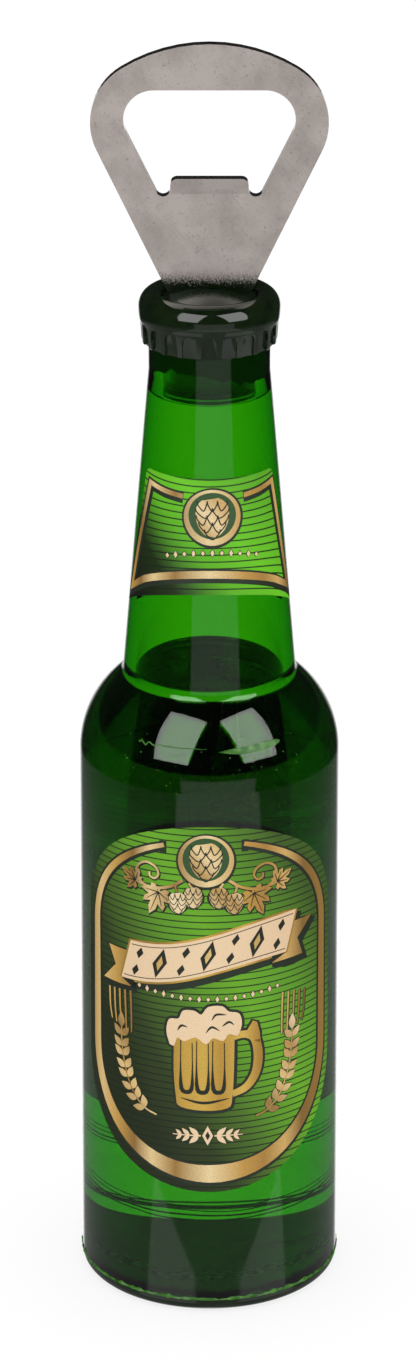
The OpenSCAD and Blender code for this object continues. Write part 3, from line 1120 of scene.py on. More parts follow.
PLATE_INK = {
    Ink.SHADOW: PrintInk("dark_green_label_ink", (
        (-26.0, "#1B2712"), (0.0, "#22321A"), (26.0, "#1C2913"))),
    Ink.GOLD: PrintInk("gold_label_ink", (
        (-26.0, "#A8802C"), (-22.0, "#D9B878"), (-18.0, "#C2963F"), (-14.0, "#8C6520"), (-10.5, "#E2C58A"),
        (-6.0, "#9C7228"), (0.0, "#E8CF98"), (6.0, "#C0923C"), (10.0, "#A97C2C"), (14.0, "#CFA75C"),
        (18.0, "#84601A"), (26.0, "#9C7424"))),
    Ink.ROUNDEL: PrintInk("roundel_green_label_ink", (
        (-26.0, "#24431C"), (0.0, "#2F5A24"), (26.0, "#274B1E"))),
    Ink.MUG: PrintInk("amber_label_ink", (
        (-8.0, "#9A7820"), (-4.5, "#C49A34"), (-1.0, "#CDA640"), (2.0, "#B98C28"), (6.0, "#D2AC48"),
        (9.0, "#A87C20"))),
    Ink.FOIL: PrintInk("lozenge_gold_label_ink", ((-16.0, "#B98F3E"), (0.0, "#D9B871"), (16.0, "#A9822F"))),
    Ink.CREAM: PrintInk("cream_label_ink", (
        (-26.0, "#E2C098"), (0.0, "#ECCFA8"), (26.0, "#DDBA90")), grain=0.06),
    Ink.TOP_GOLD: PrintInk("bright_gold_label_ink", (
        (22.0, "#A37A35"), (30.0, "#DDBD7E"), (37.0, "#96702C"), (44.0, "#DDBD7E"), (51.0, "#94702C"),
        (58.0, "#DDBD7E"), (66.0, "#B48B46"), (74.0, "#EFD9AC"), (84.0, "#B8904A"),
        (88.0, "#E9CF9B"), (92.0, "#D8B878"), (143.0, "#C49C52"), (147.0, "#EBD2A0"), (151.0, "#CDA866")),
        shear=1.0),
    Ink.LINE: PrintInk("line_label_ink", ((-26.0, "#182010"), (0.0, "#1F2A16"), (26.0, "#182010"))),
}
BODY_FILM = PrintedFilm("green_polypropylene_label", (
    (-29.0, "#2B3816"), (-20.0, "#3A521C"), (-12.0, "#588420"), (-5.0, "#6CB41C"), (2.0, "#7ACA1E"),
    (12.0, "#6AB41E"), (17.0, "#619A20"), (24.0, "#4C7220")), 0.55, 70.0, 1.25)
# the label on the back has finer ruling and lets more light through: seen through the oil it is plain green
BACK_FILM = replace(BODY_FILM, name="green_polypropylene_back_label", see_through=0.85, line=0.03)
NECK_FILM = PrintedFilm("green_polypropylene_neck_label", (
    (-23.0, "#1A2410"), (-12.7, "#24400F"), (-9.5, "#3C7012"), (-2.5, "#6CD40C"), (6.0, "#7CEC10"),
    (20.0, "#68C814")), 0.9, 141.0, 1.2, bow_top=-1.4, bow_slope=0.295, bow_z=153.0)


def spline(points: list[Point], each: int = 6) -> list[Point]:
    """A smooth curve through points.

    Args:
        points: the places that the curve passes through.
        each: how many steps the curve takes between two of them.

    Returns:
        The curve's points.
    """
    ends = [tuple(2 * a - b for a, b in zip(points[0], points[1])),
            tuple(2 * a - b for a, b in zip(points[-1], points[-2]))]
    held = [ends[0]] + points + [ends[1]]
    curve = []
    for p0, p1, p2, p3 in zip(held, held[1:], held[2:], held[3:]):
        for i in range(each):
            t = i / each
            curve.append(tuple(
                0.5 * (2 * b + (c - a) * t + (2 * a - 5 * b + 4 * c - d) * t * t
                       + (3 * b - a - 3 * c + d) * t**3)
                for a, b, c, d in zip(p0, p1, p2, p3)))
    return curve + [points[-1]]


def ribbon(path: list[Point], width: float | Callable[[float], float]) -> list[Point]:
    """The outline of a band laid along a path, with mitred corners.

    Args:
        path: the band's middle line.
        width: its width, or a function of the share of the path that gives it.

    Returns:
        A closed outline.
    """
    points = [Vector(p) for p in path]
    steps = [(b - a).normalized() for a, b in zip(points, points[1:])]
    left, right = [], []
    run = [0.0]
    for a, b in zip(points, points[1:]):
        run.append(run[-1] + (b - a).length)
    for i, p in enumerate(points):
        before, after = steps[max(0, i - 1)], steps[min(len(steps) - 1, i)]
        along = (before + after).normalized()
        half = (width(run[i] / run[-1]) if callable(width) else width) / 2
        across = Vector((-along.y, along.x)) * half / max(0.4, along.dot(after))
        left.append(tuple(p + across))
        right.append(tuple(p - across))
    return left + right[::-1]


def grown(outline: list[Point], by: float, shift: Point = (0.0, 0.0)) -> list[Point]:
    """An outline made larger all round.

    Args:
        outline: the closed outline.
        by: how far each point moves out.
        shift: how far the whole then moves.

    Returns:
        The new outline.
    """
    points = [Vector(p) for p in outline]
    area = sum(a.x * b.y - b.x * a.y for a, b in zip(points, points[1:] + points[:1]))
    sign = 1 if area > 0 else -1
    moved = []
    for before, p, after in zip(points[-1:] + points[:-1], points, points[1:] + points[:1]):
        along = (after - before).normalized()
        moved.append(tuple(p + Vector((along.y, -along.x)) * by * sign + Vector(shift)))
    return moved


def placed(outline: list[Point], at: Point, turn: float = 0.0, size: float = 1.0,
           flip: int = 1) -> list[Point]:
    """An outline turned, scaled and moved.

    Args:
        outline: the outline round its own origin.
        at: where the origin goes.
        turn: the turn in degrees, counterclockwise.
        size: the scale.
        flip: -1 mirrors the outline left to right, its turn included.

    Returns:
        The new outline.
    """
    c, s = math.cos(math.radians(turn)), math.sin(math.radians(turn))
    return [(at[0] + flip * size * (x * c - y * s), at[1] + size * (x * s + y * c)) for x, y in outline]


def grain_shape(length: float = 2.6, width: float = 1.35) -> list[Point]:
    """A barley grain, standing on the origin with its point up."""
    side = [(width / 2 * math.sin(math.pi * t**0.8), length * t) for t in (0.12, 0.25, 0.4, 0.55, 0.7, 0.85)]
    return [(0.0, 0.0)] + side + [(0.0, length)] + [(-x, y) for x, y in side[::-1]]


def leaf_shape() -> list[Point]:
    """A hop leaf of five pointed lobes, one long from stalk to tip, its stalk at the origin."""
    right = [(0.05, 0.02), (0.2, -0.16), (0.36, -0.14), (0.33, 0.02), (0.52, 0.08), (0.66, 0.24),
             (0.45, 0.27), (0.3, 0.3), (0.42, 0.46), (0.4, 0.66), (0.24, 0.56), (0.14, 0.5), (0.15, 0.72)]
    return right + [(0.0, 1.0)] + [(-x, y) for x, y in right[::-1]]


@dataclass
class Label:
    """A printed label: artwork drawn flat, in millimetres along and up the wall, then wrapped round it."""

    name: str
    node: str
    shape: BottleShape
    film: PrintedFilm | CuredGlue
    side: Side = Side.FRONT
    slot: str = "label_print"
    pitch: float = 1.0
    art: dict[Ink, list[list[Point]]] = field(default_factory=lambda: {ink: [] for ink in Ink})

    def stamp(self, ink: Ink, outline: list[Point], shadow: float = 0.0, drop: Point = (0.0, 0.0)) -> None:
        """Adds one outline to the artwork.

        Args:
            ink: its layer.
            outline: its closed outline.
            shadow: how far a dark edge shows all round it.
            drop: how far that dark edge is shifted.
        """
        area = sum(a[0] * b[1] - b[0] * a[1] for a, b in zip(outline, outline[1:] + outline[:1]))
        self.art[ink].append(outline if area > 0 else outline[::-1])
        if shadow:
            self.stamp(Ink.SHADOW, grown(outline, shadow, drop))

    def hop(self, at: Point, width: float, height: float, rows: int, ink: Ink) -> None:
        """Draws a hop cone: an egg standing on its point, its scales marked off by dark lines.

        Args:
            at: the cone's middle.
            width: its greatest width.
            height: its height.
            rows: how many rows of scales it has.
            ink: the cone's ink.
        """
        def half(up: float) -> float:
            """Half the cone's width at a share of its height above its middle."""
            return width / 2 * max(0.0, 1 - abs((up - 0.12) / (0.42 if up > 0.12 else 0.64)) ** 2.2) ** 0.62

        ups = [-0.5 + i / 16 for i in range(17)]
        right = [(at[0] + half(u), at[1] + u * height) for u in ups]
        self.stamp(ink, right + [(2 * at[0] - x, z) for x, z in right[-2:0:-1]], 0.14, (0.06, -0.08))
        step = 0.9 / rows
        for row in range(rows):
            up = 0.34 - step * row
            count = (2 if row % 2 else 3) if rows - row > 2 else rows - row
            wide = 2 * half(up - 0.25 * step) / count
            for i in range(count):
                x = at[0] + wide * (i - (count - 1) / 2)
                z, deep = at[1] + up * height, step * height
                scallop = [(x - wide / 2, z + 0.45 * deep), (x - wide * 0.42, z - 0.1 * deep),
                           (x - (x - at[0]) * 0.12, z - 0.95 * deep), (x + wide * 0.42, z - 0.1 * deep),
                           (x + wide / 2, z + 0.45 * deep)]
                self.stamp(Ink.LINE, ribbon(spline(scallop, 4), 0.03 * width + 0.03))

    def roundel(self, at: Point, radius: float) -> None:
        """Draws the roundel: a gold ring, wider below, round a green field with a hop cone.

        Args:
            at: its middle.
            radius: the ring's outer radius.
        """
        self.stamp(Ink.GOLD, arc(at, radius, 0, 354, 6), 0.4, (0.05, -0.1))
        self.stamp(Ink.ROUNDEL, arc((at[0], at[1] + 0.064 * radius), radius * 0.83, 0, 352, 8))
        self.hop(at, radius * 1.16, radius * 1.42, 5, Ink.TOP_GOLD)

    def dots(self, centre: Point, half: float, rise: float, count: int) -> None:
        """Draws a bowed row of small lozenges with dark edges.

        Args:
            centre: the row's middle.
            half: half its length.
            rise: how far its ends stand above the middle.
            count: how many lozenges it has.
        """
        for i in range(count):
            t = 2 * i / (count - 1) - 1
            tall = 0.62 if i % 2 else 0.42
            shape = [(0.34, 0.0), (0.0, tall), (-0.34, 0.0), (0.0, -tall)]
            self.stamp(Ink.CREAM, placed(shape, (centre[0] + half * t, centre[1] + rise * t * t)), 0.16)

    def layer(self, ink: Ink) -> bpy.types.Object:
        """Models one layer: flat faces cut into strips, thickened and wrapped round the wall.

        Args:
            ink: the layer.

        Returns:
            The piece, in millimetres.
        """
        part, top = ink.value
        deselect()
        bpy.ops.mesh.primitive_circle_add(vertices=8, fill_type="NGON")
        piece = bpy.context.object
        piece.name = f"{self.name}_{part}"
        edit(piece)
        bpy.ops.mesh.delete(type="VERT")
        for outline in self.art[ink]:
            bpy.ops.mesh.select_all(action="DESELECT")
            bpy.ops.mesh.primitive_circle_add(vertices=len(outline), fill_type="NGON")
            mesh = bmesh.from_edit_mesh(piece.data)
            ring = sorted((v for v in mesh.verts if v.select), key=lambda v: math.atan2(v.co.y, v.co.x))
            for vertex, (u, z) in zip(ring, outline):
                vertex.co = (u, z, 0)
        mesh.normal_update()
        bmesh.update_edit_mesh(piece.data)
        bpy.ops.mesh.select_all(action="SELECT")
        bpy.ops.mesh.quads_convert_to_tris(ngon_method="BEAUTY")
        reach = max(abs(u) for outline in self.art[ink] for u, _ in outline)
        for i in range(-int(reach / self.pitch), int(reach / self.pitch) + 1):
            bpy.ops.mesh.select_all(action="SELECT")
            bpy.ops.mesh.bisect(plane_co=(i * self.pitch, 0, 0), plane_no=(1, 0, 0))
        bpy.ops.object.mode_set(mode="OBJECT")
        return self.wrapped(piece, top)

    def wrapped(self, piece: bpy.types.Object, top: float) -> bpy.types.Object:
        """Maps a flat layer, thickens it and wraps it round the wall.

        Args:
            piece: the flat mesh, in millimetres.
            top: how far its face stands proud of the wall.

        Returns:
            The same piece.
        """
        make_active(piece)
        flat = bmesh.new()
        flat.from_mesh(piece.data)
        flat.normal_update()
        for face in flat.faces:
            if face.normal.z < 0:
                face.normal_flip()
        uv = flat.loops.layers.uv.get(PRINT_MAP) or flat.loops.layers.uv.new(PRINT_MAP)
        for face in flat.faces:
            for loop in face.loops:
                loop[uv].uv = (loop.vert.co.x / PRINT_SPAN, loop.vert.co.y / PRINT_SPAN)
        flat.to_mesh(piece.data)
        flat.free()
        thick = piece.modifiers.new("thickness", "SOLIDIFY")
        thick.thickness, thick.offset = top + FOOTING, 1.0
        bpy.ops.object.modifier_apply(modifier="thickness")
        turn = math.radians(self.side.value)
        for vertex in piece.data.vertices:
            u, z, lift = vertex.co.x, vertex.co.y, vertex.co.z - FOOTING
            r = self.shape.radius(z)
            vertex.co = ((r + lift) * math.sin(u / r + turn), -(r + lift) * math.cos(u / r + turn), z)
        smooth(piece, 30)
        return piece

    def draw(self) -> None:
        """Draws the artwork; each label has its own."""
        raise NotImplementedError

    def build(self) -> None:
        """Draws the artwork, models each layer and dresses it."""
        self.draw()
        for ink, outlines in self.art.items():
            if not outlines:
                continue
            finish = self.film if ink is Ink.FILM else PLATE_INK[ink]
            material = bpy.data.materials.get(finish.name) or finish.build()
            finish_piece(self.layer(ink), material, self.node if ink is Ink.FILM else None)


@dataclass
class BodyLabel(Label):
    """The big label: a gold frame round a roundel with hops, a ribbon, a mug between ears and a flourish."""

    low_z: float = 24.1
    top_z: float = 94.2
    wrap: float = 131.0
    arch_top: float = 20.0
    arch_bottom: float = 23.0

    def outline(self, inset: float, low: float) -> list[Point]:
        """Right half of the label's outline, from its lowest point up.

        Args:
            inset: how far the outline lies inside the film's edge at the sides and the top.
            low: how far it lies inside at the bottom.

        Returns:
            Points along and up the wall.
        """
        half = math.radians(self.wrap / 2)
        under = [(a, self.low_z + low + (self.arch_bottom - low * 0.4) * (1 + math.sin(math.radians(a))))
                 for a in range(-90, 1, 5)]
        upper = [(a, self.top_z - inset - (self.arch_top - inset * 0.4) * (1 - math.sin(math.radians(a))))
                 for a in range(0, 91, 5)]
        return [((half * self.shape.radius(z) - inset) * math.cos(math.radians(a)), z)
                for a, z in under + upper]

    def frame(self) -> None:
        """Draws the gold frame: open at the top, thin there and widest at the bottom."""
        line = self.outline(2.7, 3.6)
        right = [p for p in line if not (p[1] > 80 and p[0] < 5.4)]
        left = [(-x, z) for x, z in line if not (z > 80 and x < 6.4)]
        path = left[::-1] + right[1:]

        def width(share: float) -> float:
            """Width at a share of the way from the left end, down and up to the right end."""
            from_end = min(share, 1 - share) * 2
            return 0.8 + 1.2 * min(1.0, from_end * 2.6) + 1.5 * max(0.0, (from_end - 0.62) / 0.38) ** 1.3

        self.stamp(Ink.GOLD, ribbon(path, width))
        self.stamp(Ink.SHADOW, ribbon([(x, z - 0.15) for x, z in path], lambda s: width(s) + 1.0))
        for (x, z), way in ((path[0], 1), (path[-1], -1)):
            self.stamp(Ink.SHADOW, [(x - 0.8 * way, z - 1.5), (x + 0.45 * way, z - 1.5),
                                    (x + 0.45 * way, z + 0.75), (x - 0.8 * way, z + 0.75)])

    def crest(self) -> None:
        """Draws the roundel with its vines, leaves and small hops."""
        middle = -0.6
        self.roundel((middle, 87.8), 4.85)
        for flip in (-1, 1):
            def at(x: float, z: float) -> Point:
                """A place on this side of the crest."""
                return (middle + flip * x, z)

            vine = spline([at(*p) for p in ((4.0, 84.1), (6.2, 82.7), (9.0, 82.0), (11.2, 82.3), (12.6, 83.7),
                                            (12.4, 85.6), (10.8, 86.6), (9.0, 86.0), (8.4, 84.7), (9.1, 83.8),
                                            (10.0, 84.1), (10.1, 84.9))])
            self.stamp(Ink.GOLD, ribbon(vine, lambda s: 0.55 - 0.2 * s), 0.14, (0.1, -0.15))
            for path in (((10.6, 82.2), (11.8, 82.3), (12.9, 82.7)), ((8.3, 82.1), (8.2, 81.2), (7.9, 80.6)),
                         ((5.2, 83.3), (5.3, 82.4), (5.0, 81.8)), ((3.0, 83.6), (2.6, 83.0), (2.2, 82.6))):
                self.stamp(Ink.GOLD, ribbon(spline([at(*p) for p in path], 4), 0.36), 0.1)
            for place, turn, size in (((12.7, 82.5), -58, 3.7), ((8.3, 81.6), -158, 5.0)):
                leaf = placed(leaf_shape(), at(*place), turn, size, flip)
                self.stamp(Ink.GOLD, leaf, 0.22, (0.12, -0.2))
                for reach in ((0.0, 0.85), (0.3, 0.5), (-0.3, 0.5), (0.45, 0.18), (-0.45, 0.18)):
                    vein = placed([(0.0, 0.06), reach], at(*place), turn, size, flip)
                    self.stamp(Ink.LINE, ribbon(vein, lambda s: 0.2 - 0.14 * s))
            for x, z in ((4.9, 79.7), (2.2, 80.9)):
                self.stamp(Ink.SHADOW, arc(at(x, z), 2.0, 0, 345, 15))
                self.hop(at(x, z), 3.2, 4.0, 4, Ink.TOP_GOLD)

    def banner(self) -> None:
        """Draws a cream scroll that rises to the right: a panel over two forked tails, set with lozenges."""

        def at(x: float, up: float) -> Point:
            """A place on the scroll: x along it and `up` across it, leaning like the scroll."""
            return (x + up * 0.28 - 0.2, 69.9 + 0.15 * x + 0.85 * math.sin(x * 0.17) + up)

        def strip(x0: float, x1: float, low: float, high: float, count: int = 12) -> list[Point]:
            """A piece of the scroll between two places along it and two heights."""
            along = [x0 + (x1 - x0) * i / count for i in range(count + 1)]
            return [at(x, low) for x in along] + [at(x, high) for x in along[::-1]]

        def lozenge(ink: Ink, x: float, up: float, wide: float, tall: float) -> None:
            """Draws one lozenge on the scroll."""
            self.stamp(ink, [at(x, up - tall), at(x + wide, up), at(x, up + tall), at(x - wide, up)])

        half, low, high, drop = 15.4, -3.8, 3.8, (0.6, -0.8)
        for way in (-1, 1):
            tail = [at(way * 19.6, -5.2), at(way * 17.4, -1.8), at(way * 20.0, 1.6)]
            tail += [at(way * x, up) for x, up in (
                (17.0, 1.6), (15.0, 1.6), (13.0, 1.6), (13.0, -5.2), (15.0, -5.2), (17.0, -5.2))]
            self.stamp(Ink.GOLD, tail, 0.3)
            self.stamp(Ink.SHADOW, grown(tail, 0.7, drop))
            self.stamp(Ink.LINE, [at(way * half, low), at(way * 12.6, low), at(way * 12.6, -5.2)])
        panel = strip(-half, half, low, high)
        self.stamp(Ink.SHADOW, grown(panel, 0.8, drop))
        self.stamp(Ink.MUG, grown(panel, 0.4))
        self.stamp(Ink.CREAM, panel)
        for i in range(7):
            x = -12.9 + 4.3 * i
            if i % 2:
                lozenge(Ink.LINE, x, 0, 1.35, 2.9)
                lozenge(Ink.FOIL, x, 0, 0.6, 1.5)
            else:
                for up in (-1.7, 1.7):
                    lozenge(Ink.LINE, x, up, 0.7, 1.1)
        for up in (-3.1, 3.1):
            self.stamp(Ink.LINE, strip(-15.0, 15.0, up - 0.07, up + 0.07, 24))

    def mug(self) -> None:
        """Draws the mug, its handle and its foam."""
        body = spline([(-6.2, 55.0), (-6.3, 48.0), (-5.9, 42.6), (-5.2, 40.7), (-1.0, 40.1), (3.2, 40.5),
                       (4.0, 42.4), (4.3, 48.0), (4.4, 55.5)], 3)
        handle = spline([(4.0, 54.2), (6.2, 54.6), (8.0, 53.6), (8.7, 50.5), (8.3, 47.0), (6.6, 44.4),
                         (4.0, 43.2)], 4)
        horn = [(5.2, 54.4), (6.6, 55.2), (7.7, 57.0), (8.5, 56.6), (9.0, 54.5), (9.2, 52.4), (7.4, 53.4)]
        foam = spline([(-7.0, 52.6), (-7.6, 55.0), (-7.1, 57.4), (-5.4, 57.7), (-4.6, 59.3), (-2.6, 59.4),
                       (-1.4, 58.7), (-0.2, 60.2), (2.2, 60.3), (3.4, 59.2), (5.2, 58.7), (5.7, 56.6),
                       (4.9, 54.5), (3.4, 54.9), (2.4, 53.6), (0.6, 54.2), (-0.6, 53.0), (-2.4, 54.3),
                       (-4.4, 53.4), (-5.6, 54.0), (-6.2, 52.4), (-7.0, 52.6)], 3)[:-1]

        def swelling(least: float, more: float, power: int = 1) -> Callable[[float], float]:
            """The width of a line that swells in its middle."""
            return lambda share: least + more * math.sin(math.pi * share) ** power

        self.stamp(Ink.MUG, body, 0.5, (0.1, -0.15))
        self.stamp(Ink.MUG, ribbon(handle, swelling(1.2, 0.5)))
        self.stamp(Ink.SHADOW, ribbon(handle, swelling(2.15, 0.5)))
        self.stamp(Ink.MUG, horn, 0.45)
        self.stamp(Ink.CREAM, foam, 0.5)
        for x in (-4.0, -1.2, 1.6):
            slot = spline([(x - 1.0, 53.6), (x - 1.05, 48.0), (x - 0.9, 44.3), (x, 43.6), (x + 0.9, 44.3),
                           (x + 1.05, 48.0), (x + 1.0, 53.2)], 3)
            self.stamp(Ink.LINE, ribbon(slot, swelling(0.16, 0.62, 6)))
        self.stamp(Ink.LINE, ribbon(spline([(-5.0, 42.4), (-1.0, 41.6), (3.4, 42.4)], 5), swelling(0.1, 0.4)))
        for bubble in ([(-5.6, 55.4), (-4.9, 56.4), (-3.8, 56.2)], [(-0.6, 55.2), (0.4, 56.3), (1.8, 55.6)],
                       [(0.4, 57.6), (1.2, 58.7), (3.0, 58.6)], [(2.2, 56.4), (3.4, 57.2), (4.3, 56.6)]):
            self.stamp(Ink.LINE, ribbon(spline(bubble, 5), swelling(0.06, 0.34)))

    def ears(self) -> None:
        """Draws an ear of barley on each side of the mug."""
        for flip, middle in ((-1, -0.9), (1, -0.3)):
            stalk = spline([(middle + flip * x, z) for x, z in (
                (15.9, 54.6), (15.8, 50.5), (15.0, 46.0), (13.3, 41.8), (10.9, 39.3), (8.6, 38.4))], 8)
            self.stamp(Ink.GOLD, ribbon(stalk, 0.3), 0.12)
            for i in range(5):
                x = 13.4 + 1.25 * i
                low = 54.9 if i == 2 else 53.2 + 0.35 * i
                awn = [(middle + flip * (x + 0.4), 61.2 - 0.15 * i), (middle + flip * (x + 0.25), 57.0),
                       (middle + flip * (x + (2 - i) * 0.12), low)]
                self.stamp(Ink.GOLD, ribbon(spline(awn, 5), lambda s: 0.4 - 0.12 * s), 0.16, (0.08, -0.08))
            self.stamp(Ink.TOP_GOLD, placed(grain_shape(3.0, 1.5), (middle + flip * 15.9, 53.6)), 0.18)
            points = [Vector(p) for p in stalk]
            run = [0.0]
            for before, after in zip(points, points[1:]):
                run.append(run[-1] + (after - before).length)
            for k in range(8):
                i = next(i for i, length in enumerate(run) if length >= 2.1 + 2.05 * k)
                along = (points[i - 1] - points[i]).normalized()
                heading = -math.degrees(math.atan2(along.x, along.y))
                for way in (-1, 1):
                    foot = tuple(points[i] + way * 0.18 * Vector((-along.y, along.x)))
                    self.stamp(Ink.TOP_GOLD, placed(grain_shape(2.35, 1.3), foot, heading + way * 40), 0.13)

    def flourish(self) -> None:
        """Draws a sprig lying on its side: a lozenge between two rows of leaves that shrink outwards."""
        middle, level = -0.3, 35.2
        boss = placed([(0, -1.9), (0.95, 0), (0, 1.9), (-0.95, 0)], (middle, level))
        self.stamp(Ink.CREAM, boss, 0.14, (0.08, -0.1))
        self.stamp(Ink.LINE, placed([(0, -0.85), (0.42, 0), (0, 0.85), (-0.42, 0)], (middle, level)))
        for flip in (-1, 1):
            stem = [(middle + flip * x, level) for x in (1.2, 3.0, 6.2)]
            self.stamp(Ink.CREAM, ribbon(stem, lambda s: 0.3 - 0.15 * s), 0.12)
            for x, size in ((1.6, 1.0), (3.2, 0.8), (4.6, 0.62)):
                for way in (-1, 1):
                    foot = (middle + flip * x, level)
                    leaf = placed(grain_shape(2.3, 0.95), foot, -90 + way * 44, size, flip)
                    self.stamp(Ink.CREAM, leaf, 0.12, (0.06, -0.08))

    def draw(self) -> None:
        """Draws the artwork."""
        line = self.outline(0.0, 0.0)
        self.stamp(Ink.FILM, line[:-1] + [(-x, z) for x, z in line[::-1][:-1]])
        self.frame()
        self.crest()
        self.banner()
        self.dots((-0.2, 61.6), 12.6, 1.2, 17)
        self.mug()
        self.ears()
        self.flourish()


@dataclass
class NeckLabel(Label):
    """The neck label: a gold frame, open at the top round a roundel, over a row of lozenges."""

    low_z: float = 128.4
    top_z: float = 153.7
    top_wrap: float = 128.0
    low_wrap: float = 163.0
    arch: float = 5.0
    corner: float = 1.3

    def edge(self) -> list[Point]:
        """Right half of the film's outline, from the middle of its lower edge.

        Returns:
            Points along and up the wall.
        """
        low, top = math.radians(self.low_wrap / 2), math.radians(self.top_wrap / 2)
        side_z = self.top_z - self.corner
        wrap = self.corner / self.shape.radius(self.top_z)
        turns = [(low * i / 20, self.low_z + self.arch * (1 - (i / 20) ** 2)) for i in range(21)]
        turns += [(top + (low - top) * i / 10, side_z + (self.low_z - side_z) * i / 10)
                  for i in range(9, -1, -1)]
        turns += [(top - wrap * (1 - math.cos(a)), side_z + self.corner * math.sin(a))
                  for a in (math.radians(15 * i) for i in range(1, 7))]
        return [(a * self.shape.radius(z), z) for a, z in turns]

    def draw(self) -> None:
        """Draws the artwork."""
        line = self.edge()
        self.stamp(Ink.FILM, line + [(-x, z) for x, z in line[:0:-1]])
        foot = [(x, 137.0 - 5.4 * (x / 18.0) ** 2) for x in range(-13, 14, 2)]
        path = [(-4.6, 150.5), (-8.2, 150.9), (-11.7, 151.5), (-14.6, 141.6), (-17.7, 131.5)] + foot
        path += [(18.2, 131.5), (15.3, 141.6), (12.8, 151.5), (9.4, 150.9), (6.0, 150.5)]
        for ink, extra, drop in ((Ink.SHADOW, 1.15, -0.25), (Ink.GOLD, 0.0, 0.0)):
            moved = [(x * (1 - extra * 0.01), z + drop) for x, z in path]
            self.stamp(ink, ribbon(moved, lambda s: extra + 0.85 + 0.5 * math.sin(math.pi * s) ** 4))
        self.roundel((0.5, 147.0), 4.9)
        self.dots((0.5, 140.8), 8.0, -1.1, 11)


@dataclass
class ShoulderMarksAndHighlight(Label):
    """Marks on the shoulder: a pale green crescent that is a painted highlight, a thread of glue and a
    scatter of specks.
    """

    specks: int = 46
    specks_w: float = 34.0
    specks_z: tuple[float, float] = (96.0, 110.0)

    def draw(self) -> None:
        """Draws the marks."""
        # a pale green crescent on the shoulder: a painted highlight
        painted_highlight = [(1.6, 107.4), (4.5, 107.0), (8.0, 106.9), (10.6, 107.2), (12.2, 107.6), (12.8, 108.0),
                 (12.1, 108.3), (9.6, 108.3), (6.5, 108.0), (3.6, 107.8)]
        self.stamp(Ink.FILM, spline(painted_highlight + painted_highlight[:1], 4)[:-1])
        thread = [(-12.8 + 0.65 * i, 107.9 + 0.3 * math.sin(2.4 * i) * (1.0 if i < 6 else 0.25))
                  for i in range(20)]
        self.stamp(Ink.FILM, ribbon(spline(thread, 3), lambda s: 0.05 + 0.2 * (1 - s) ** 2))
        low, high = self.specks_z
        for i in range(self.specks):
            along, up, big = (noise.cell(Vector(at)) % 1.0
                              for at in ((i, 0.5, 0.0), (i, 7.5, 0.0), (i, 3.5, 1.0)))
            middle = (self.specks_w * (along - 0.5), low + (high - low) * up)
            self.stamp(Ink.FILM, arc(middle, 0.05 + 0.07 * big, 0, 300, 60))


# ------------------------------------------------------------------ studio


def window(tree: bpy.types.NodeTree, source: bpy.types.NodeSocket, low: float, high: float,
           soft: float) -> bpy.types.NodeSocket:
    """A soft-edged band of an angle.

    Args:
        tree: the world's node tree.
        source: the angle in radians.
        low: where the band starts, in degrees.
        high: where it ends, in degrees.
        soft: how wide its edges are, in degrees.

    Returns:
        One inside the band and nought outside it.
    """
    edges = [add_node(tree, "MapRange", {
        "interpolation_type": "SMOOTHSTEP", "From Min": math.radians(at - soft / 2),
        "From Max": math.radians(at + soft / 2), "To Min": a, "To Max": b}, {"Value": source}).outputs[0]
        for at, a, b in ((low, 0.0, 1.0), (high, 1.0, 0.0))]
    return add_node(tree, "Math", {"operation": "MULTIPLY"}, {0: edges[0], 1: edges[1]}).outputs[0]


